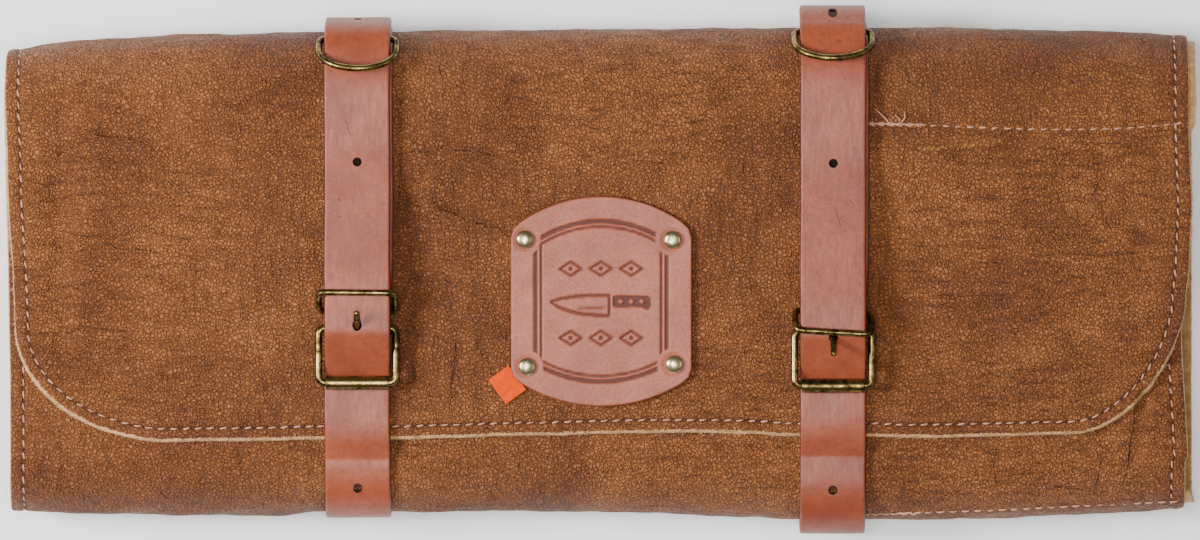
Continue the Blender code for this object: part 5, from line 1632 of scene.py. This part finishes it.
SCARS = (
    ((1036, 98), (1062, 111), 0.0005, 0.85), ((1060, 112), (1100, 113), 0.0004, 0.75),
    ((1098, 112), (1130, 110), 0.0004, 0.55), ((920, 146), (985, 142), 0.0012, 0.60),
    ((980, 143), (1010, 136), 0.0008, 0.30), ((884, 88), (906, 112), 0.0005, 0.35),
    ((1024, 72), (1040, 96), 0.0004, 0.25),
)
FINE_CREASES = (
    ((60, 246), (118, 241), 0.0006, 1.0), ((114, 241), (168, 248), 0.0005, 0.8),
    ((58, 152), (104, 127), 0.0006, 0.8), ((100, 128), (152, 137), 0.0006, 0.8),
    ((400, 149), (452, 141), 0.0006, 0.9), ((450, 141), (506, 150), 0.0005, 0.7),
    ((436, 197), (518, 229), 0.0007, 0.9), ((463, 322), (457, 402), 0.0008, 0.8),
    ((445, 270), (500, 300), 0.0006, 0.6), ((420, 355), (450, 430), 0.0006, 0.5),
    ((1144, 395), (1132, 484), 0.0008, 1.0), ((1108, 450), (1101, 493), 0.0006, 0.9),
    ((1068, 452), (1077, 493), 0.0006, 0.8), ((1043, 477), (1100, 485), 0.0006, 0.7),
    ((1000, 452), (1006, 492), 0.0006, 0.6), ((1120, 470), (1160, 462), 0.0005, 0.6),
    ((700, 122), (768, 60), 0.0006, 0.5), ((962, 152), (1158, 160), 0.0006, 0.5),
    ((60, 430), (92, 502), 0.0006, 0.7), ((130, 448), (180, 500), 0.0005, 0.6),
    ((1060, 250), (1172, 246), 0.0005, 0.7), ((560, 468), (700, 462), 0.0006, 0.4),
)


def hide_material():
    """Pebbled pull-up leather: cells of about 1.5 mm with painted shade in their furrows, two ways of
    wrinkling with painted shade in their valleys, creases with painted shade, cloudy tan and brown, pale
    specks partly rubbed and partly painted highlight on pebble tops and ridges, painted shade along the sewn
    groove, and pale fibrous flesh on the cut edge and inner side."""
    made, tree, surface = new_material("pebbled_hide")
    coords = coordinates(tree)
    soft = warped(tree, coords, 380.0, 0.0022)
    pebble = cells(tree, soft, 640.0, "F1")
    furrow = cells(tree, soft, 640.0, "DISTANCE_TO_EDGE")
    small = cells(tree, warped(tree, coords, 900.0, 0.0008), 1500.0, "F1")
    upright = noise(tree, stretched(tree, coords, (1.5, 0.40, 1.0), (0, 0, 0.35)), 210.0, 5.0, 0.66, 0.9)
    level = noise(tree, stretched(tree, coords, (0.38, 1.5, 1.0), (0, 0, -0.25)), 190.0, 5.0, 0.66, 0.9)
    which = ramp(tree, noise(tree, coords, 11.0, 2.0), 0.44, 0.56)
    wrinkle = maths(tree, "ADD", times(tree, upright, maths(tree, "SUBTRACT", 1.0, which)),
                    times(tree, level, which))
    network = cells(tree, warped(tree, coords, 46.0, 0.030), 34.0, "DISTANCE_TO_EDGE")
    network = ramp(tree, network, 0.0, 0.035, 0.30, 0.0)
    network = times(tree, network, ramp(tree, noise(tree, coords, 24.0, 3.0), 0.44, 0.66))
    creases = larger(tree, joined_streaks(tree, warped(tree, coords, 70.0, 0.005), FINE_CREASES), network)
    cloud = noise(tree, coords, 15.0, 4.0, 0.6, 0.4)
    patchy = noise(tree, coords, 58.0, 5.0, 0.68, 0.8)
    fine = noise(tree, coords, 2600.0, 2.0)

    colour = blend(tree, ramp(tree, cloud, 0.34, 0.66), HIDE_DARK, HIDE_LIGHT)
    colour = blend(tree, ramp(tree, patchy, 0.38, 0.66, 0.0, 0.85), colour, HIDE_MIDDLE)
    # painted shade in the valleys of the wrinkles
    valley_shade = ramp(tree, wrinkle, 0.34, 0.52, 1.0, 0.0)
    colour = blend(tree, times(tree, valley_shade, 0.40), colour, HIDE_PAINTED_SHADE)
    # painted shade along the furrows between the pebbles
    lines = ramp(tree, furrow, 0.0, 0.14, 1.0, 0.0)
    colour = blend(tree, times(tree, lines, 0.75), colour, HIDE_PAINTED_SHADE)
    # painted shade in the creases and their network
    colour = blend(tree, times(tree, creases, 0.38), colour, HIDE_PAINTED_SHADE)
    # pale pebble tops and wrinkle ridges: partly rubbed wear, partly painted highlight
    tops = ramp(tree, pebble, 0.0, 0.45, 1.0, 0.0)
    ridges = ramp(tree, wrinkle, 0.52, 0.72)
    rubbed = times(tree, tops, ramp(tree, noise(tree, coords, 300.0, 3.0, 0.7), 0.50, 0.70))
    rubbed = larger(tree, rubbed, times(tree, ridges, times(tree, tops, 0.8)))
    colour = blend(tree, times(tree, rubbed, 0.60), colour, HIDE_RUBBED_AND_HIGHLIGHT)
    gold = noise(tree, coords, 620.0, 3.0, 0.75)
    marks = times(tree, joined_streaks(tree, warped(tree, coords, 120.0, 0.003), SCARS),
                  ramp(tree, gold, 0.44, 0.60))
    colour = blend(tree, marks, colour, HIDE_SCAR)
    # painted shade in the groove along the sewn line
    beside = maths(tree, "ABSOLUTE", maths(tree, "SUBTRACT", mark(tree, "edge"), SEAM_INSET / MM))
    colour = blend(tree, ramp(tree, beside, 0.2, 1.3, 0.70, 0.0), colour, HIDE_PAINTED_SHADE)
    raw = raw_mask(tree, coords, "cut")
    link(tree, blend(tree, raw, colour, suede_colour(tree, coords)), surface.inputs["Base Color"])

    grainy = ramp(tree, pebble, 0.0, 0.6, 0.42, 0.60)
    rough = maths(tree, "ADD", grainy, ramp(tree, patchy, 0.3, 0.7, -0.05, 0.07), True)
    link(tree, larger(tree, rough, times(tree, raw, 0.95)), surface.inputs["Roughness"])
    surface.inputs["Specular IOR Level"].default_value = 0.36
    height = maths(tree, "SUBTRACT", ramp(tree, furrow, 0.0, 0.26), times(tree, small, 0.35))
    height = times(tree, height, maths(tree, "SUBTRACT", 1.0, raw))
    shape = bump(tree, wrinkle, 0.0026, 1.0)
    shape = bump(tree, maths(tree, "SUBTRACT", 1.0, creases), 0.0007, 1.0, shape)
    shape = bump(tree, height, 0.00055, 1.0, shape)
    link(tree, bump(tree, fine, 0.00008, 0.5, shape), surface.inputs["Normal"])
    return made


def suede_material():
    """Pale fibrous flesh side."""
    made, tree, surface = new_material("raw_suede")
    coords = coordinates(tree)
    link(tree, suede_colour(tree, coords), surface.inputs["Base Color"])
    surface.inputs["Roughness"].default_value = 0.95
    surface.inputs["Specular IOR Level"].default_value = 0.2
    surface.inputs["Sheen Weight"].default_value = 0.3
    fibre = noise(tree, stretched(tree, coords, (1.0, 1.0, 0.5)), 1500.0, 4.0, 0.75)
    link(tree, bump(tree, fibre, 0.00035, 0.8), surface.inputs["Normal"])
    return made


STRAP_MARKS = (
    ((345, 118), (351, 137), 0.0003, 0.9), ((349, 120), (347, 132), 0.00025, 0.8),
    ((833, 204), (841, 229), 0.0003, 0.9), ((836, 206), (838, 222), 0.0002, 0.5),
    ((338, 199), (342, 201), 0.0005, 0.9), ((338, 216), (342, 218), 0.0005, 0.9),
    ((372, 240), (381, 232), 0.0003, 0.5), ((815, 270), (829, 292), 0.0002, 0.4),
)


def hole_shade(tree, coords):
    """1 where painted shade darkens each punched hole, on what lies under it."""
    parts = node(tree, "ShaderNodeSeparateXYZ")
    link(tree, coords, parts.inputs["Vector"])
    flat = node(tree, "ShaderNodeCombineXYZ")
    link(tree, parts.outputs["X"], flat.inputs["X"])
    link(tree, parts.outputs["Y"], flat.inputs["Y"])
    nearest = None
    holes = [hole for side in STRAP_X for hole in strap_course(side).holes]
    for centre, axis in holes:
        if axis[2] < 0.3:
            continue
        apart = node(tree, "ShaderNodeVectorMath", operation="DISTANCE")
        link(tree, flat.outputs["Vector"], apart.inputs[0])
        apart.inputs[1].default_value = (centre[0], centre[1], 0.0)
        one = apart.outputs["Value"]
        nearest = one if nearest is None else maths(tree, "MINIMUM", nearest, one)
    return ramp(tree, nearest, HOLE_DIAMETER * 0.50, HOLE_DIAMETER * 0.62, 1.0, 0.0)


def strap_material():
    """Smooth vegetable-tanned leather: faint fibre streaks, pores, scuffs, burnished edges and painted shade
    in the punched holes.
    """
    made, tree, surface = new_material("smooth_strap")
    coords = coordinates(tree)
    cloud = noise(tree, coords, 34.0, 4.0, 0.6, 0.3)
    fibre = noise(tree, stretched(tree, coords, (1.0, 0.22, 1.0)), 520.0, 4.0, 0.65)
    mottle = noise(tree, coords, 420.0, 4.0, 0.7)
    pores = cells(tree, warped(tree, coords, 700.0, 0.001), 1300.0)
    spots = noise(tree, coords, 330.0, 2.0, 0.5)
    colour = blend(tree, ramp(tree, cloud, 0.34, 0.66), STRAP_DARK, STRAP_LIGHT)
    colour = blend(tree, ramp(tree, fibre, 0.40, 0.70, 0.0, 0.45), colour, STRAP_DARK)
    colour = blend(tree, ramp(tree, mottle, 0.46, 0.70, 0.0, 0.35), colour, STRAP_PORE)
    colour = blend(tree, ramp(tree, pores, 0.0, 0.20, 0.50, 0.0), colour, STRAP_PORE)
    colour = blend(tree, ramp(tree, spots, 0.68, 0.76, 0.0, 0.55), colour, STRAP_PORE)
    marks = joined_streaks(tree, coords, STRAP_MARKS)
    colour = blend(tree, times(tree, marks, 0.8), colour, STRAP_SCUFF)
    edge = mark(tree, "edge")
    colour = blend(tree, ramp(tree, edge, 0.05, 0.80, 0.85, 0.0), colour, STRAP_BURNISHED)
    colour = blend(tree, times(tree, mark(tree, "flesh"), 0.6), colour, STRAP_FLESH)
    # painted shade in the punched holes
    shade = hole_shade(tree, coords)
    colour = blend(tree, times(tree, shade, 0.92), colour, HOLE_PAINTED_SHADE)
    link(tree, colour, surface.inputs["Base Color"])
    rough = maths(tree, "ADD", ramp(tree, fibre, 0.3, 0.7, 0.44, 0.54), times(tree, marks, 0.2), True)
    link(tree, larger(tree, rough, shade), surface.inputs["Roughness"])
    surface.inputs["Specular IOR Level"].default_value = 0.60
    shape = bump(tree, pores, 0.00012, 0.4)
    shape = bump(tree, mottle, 0.00020, 0.5, shape)
    link(tree, bump(tree, cloud, 0.0012, 0.3, shape), surface.inputs["Normal"])
    return made


def patch_material():
    """Pinkish smooth leather with fine pores, darker where the motif is pressed in."""
    made, tree, surface = new_material("pressed_patch")
    coords = coordinates(tree)
    cloud = noise(tree, coords, 48.0, 4.0, 0.65, 0.3)
    grain = noise(tree, coords, 900.0, 4.0, 0.7)
    pores = cells(tree, warped(tree, coords, 800.0, 0.0009), 1700.0)
    colour = blend(tree, ramp(tree, cloud, 0.34, 0.66), PATCH_DARK, PATCH_LIGHT)
    colour = blend(tree, ramp(tree, grain, 0.45, 0.72, 0.0, 0.50), colour, PATCH_GRAIN)
    colour = blend(tree, ramp(tree, pores, 0.0, 0.20, 0.45, 0.0), colour, PATCH_PORE)
    colour = blend(tree, times(tree, mark(tree, "press"), 0.92), colour, PATCH_PRESSED)
    edge = mark(tree, "edge")
    colour = blend(tree, ramp(tree, edge, 0.05, 0.75, 0.70, 0.0), colour, PATCH_EDGE)
    link(tree, colour, surface.inputs["Base Color"])
    rough = ramp(tree, grain, 0.3, 0.7, 0.44, 0.54)
    rough = maths(tree, "ADD", rough, times(tree, mark(tree, "press"), 0.25), True)
    link(tree, rough, surface.inputs["Roughness"])
    surface.inputs["Specular IOR Level"].default_value = 0.60
    shape = bump(tree, pores, 0.00010, 0.4)
    link(tree, bump(tree, grain, 0.00016, 0.45, shape), surface.inputs["Normal"])
    return made


def brass_material(name, dark, bright, shine):
    """Antique brass: brown-olive patina that is rubbed bright in soft patches, with fine scratches."""
    made, tree, surface = new_material(name)
    coords = coordinates(tree)
    worn = noise(tree, coords, 190.0, 4.0, 0.65, 0.4)
    fine = noise(tree, coords, 1500.0, 3.0, 0.7)
    scratch = noise(tree, stretched(tree, coords, (0.15, 1.0, 1.0), (0, 0, 0.3)), 2600.0, 3.0, 0.7)
    colour = blend(tree, ramp(tree, worn, 0.36, 0.62), dark, bright)
    colour = blend(tree, ramp(tree, fine, 0.55, 0.80, 0.0, 0.6), colour, dark)
    link(tree, colour, surface.inputs["Base Color"])
    surface.inputs["Metallic"].default_value = 1.0
    rubbed = ramp(tree, worn, 0.36, 0.62, shine + 0.12, shine)
    rough = maths(tree, "ADD", rubbed, ramp(tree, fine, 0.4, 0.8, 0.0, 0.12), True)
    link(tree, rough, surface.inputs["Roughness"])
    shape = bump(tree, scratch, 0.00004, 0.35)
    link(tree, bump(tree, worn, 0.00025, 0.3, shape), surface.inputs["Normal"])
    return made


def thread_material():
    """Waxed pinkish thread of two plies: slanted bands along the stitch's own map, with painted shade in the
    grooves between the plies.
    """
    made, tree, surface = new_material("waxed_thread")
    coords = coordinates(tree)
    layer = node(tree, "ShaderNodeUVMap", uv_map="thread")
    parts = node(tree, "ShaderNodeSeparateXYZ")
    link(tree, layer.outputs["UV"], parts.inputs["Vector"])
    wound = maths(tree, "ADD", times(tree, parts.outputs["X"], 5.0), parts.outputs["Y"])
    ply = maths(tree, "PINGPONG", wound, 0.5)
    tone = noise(tree, coords, 160.0, 3.0, 0.6)
    colour = blend(tree, ramp(tree, tone, 0.35, 0.65), THREAD_DARK, THREAD_LIGHT)
    # painted shade in the grooves between the plies
    colour = blend(tree, ramp(tree, ply, 0.0, 0.22, 0.55, 0.0), colour, THREAD_GROOVE_SHADE)
    link(tree, colour, surface.inputs["Base Color"])
    surface.inputs["Roughness"].default_value = 0.6
    link(tree, bump(tree, ply, 0.00025, 0.8), surface.inputs["Normal"])
    return made


def tab_material():
    """Thin dyed leather, matt orange, with a soft nap."""
    made, tree, surface = new_material("orange_scrap")
    coords = coordinates(tree)
    tone = noise(tree, coords, 420.0, 4.0, 0.65)
    colour = blend(tree, ramp(tree, tone, 0.35, 0.68), TAB_DARK, TAB_LIGHT)
    edge = mark(tree, "edge")
    colour = blend(tree, ramp(tree, edge, 0.0, 0.35, 0.6, 0.0), colour, TAB_EDGE)
    link(tree, colour, surface.inputs["Base Color"])
    surface.inputs["Roughness"].default_value = 0.9
    surface.inputs["Specular IOR Level"].default_value = 0.05
    link(tree, bump(tree, tone, 0.0002, 0.6), surface.inputs["Normal"])
    return made


def fibre_material():
    made, tree, surface = new_material("loose_fibre")
    tone = noise(tree, coordinates(tree), 90.0, 2.0)
    colour = blend(tree, ramp(tree, tone, 0.4, 0.6), FIBRE_DARK, FIBRE_LIGHT)
    link(tree, colour, surface.inputs["Base Color"])
    surface.inputs["Roughness"].default_value = 0.8
    return made


# Floor, light and camera


def build_stage():
    """A pale floor, a large soft light over the front, a softer fill and the camera straight above."""
    mesh = bpy.data.meshes.new("floor")
    reach = 3.0
    corners = [(-reach, -reach, 0), (reach, -reach, 0), (reach, reach, 0), (-reach, reach, 0)]
    mesh.from_pydata(corners, [], [(0, 1, 2, 3)])
    floor = bpy.data.objects.new("floor", mesh)
    bpy.context.scene.collection.objects.link(floor)
    made, tree, surface = new_material("pale_floor")
    surface.inputs["Base Color"].default_value = (0.90, 0.90, 0.90, 1.0)
    surface.inputs["Roughness"].default_value = 0.85
    surface.inputs["Emission Color"].default_value = (1.0, 1.0, 1.0, 1.0)
    surface.inputs["Emission Strength"].default_value = 0.32
    mesh.materials.append(made)

    for name, place, size, power in (
        ("key", (-1.45, 0.12, 1.15), 0.50, 50.0),
        ("overhead", (-0.15, -0.16, 2.2), 0.95, 40.0),
        ("fill", (1.4, -0.1, 1.0), 1.0, 3.0),
    ):
        lamp = bpy.data.lights.new(name, "AREA")
        lamp.shape = "SQUARE"
        lamp.size = size
        lamp.energy = power
        holder = bpy.data.objects.new(name, lamp)
        holder.location = place
        aim = np.array([0.0, 0.0, 0.03]) - np.array(place)
        level = math.hypot(aim[0], aim[1])
        holder.rotation_euler = (math.atan2(level, -aim[2]), 0.0, math.atan2(aim[1], aim[0]) - math.pi / 2)
        bpy.context.scene.collection.objects.link(holder)

    world = bpy.data.worlds.new("studio")
    world.use_nodes = True
    world.node_tree.nodes["Background"].inputs["Color"].default_value = (0.96, 0.97, 1.0, 1.0)
    world.node_tree.nodes["Background"].inputs["Strength"].default_value = 0.16
    bpy.context.scene.world = world

    camera_data = bpy.data.cameras.new("overhead_camera")
    camera_data.sensor_width = SENSOR * 1000
    camera_data.lens = LENS * 1000
    distance = PICTURE_WIDTH * PIXEL * LENS / SENSOR
    camera = bpy.data.objects.new("overhead_camera", camera_data)
    camera.location = (0.0, (PICTURE_MIDDLE[1] - PICTURE_CENTRE_ROW) * PIXEL, FRONT_HEIGHT + distance)
    bpy.context.scene.collection.objects.link(camera)
    bpy.context.scene.camera = camera


build_stage()
LOOKS = {
    "hide": hide_material(),
    "suede": suede_material(),
    "strap": strap_material(),
    "patch": patch_material(),
    "brass": brass_material("antique_brass_wire", BRASS_DARK, BRASS_RUBBED, 0.24),
    "rivet": brass_material("worn_rivet_cap", RIVET_DARK, RIVET_RUBBED, 0.22),
    "thread": thread_material(),
    "tab": tab_material(),
    "fibre": fibre_material(),
}
HIDE = build_hide()
pocket_edge, pocket_up = build_pocket()
for strap_side in STRAP_X:
    build_strap(strap_side)
    build_buckle(strap_side)
    build_ring(strap_side)
build_patch()
build_rivets()
build_tab()
build_stitching(HIDE)
edge_line, edge_up, edge_inside = HIDE.flap_edge
build_fibres(
    "flap_fibres", edge_line, edge_line - edge_inside, edge_up, 9000, 101, 2.9 * MM,
    LOOKS["fibre"],
)
pocket_outward = np.tile([1.0, 0.0, 0.0], (len(pocket_edge), 1))
build_fibres(
    "pocket_fibres", pocket_edge, pocket_outward, pocket_up, 1600, 103, 1.6 * MM,
    LOOKS["fibre"],
)
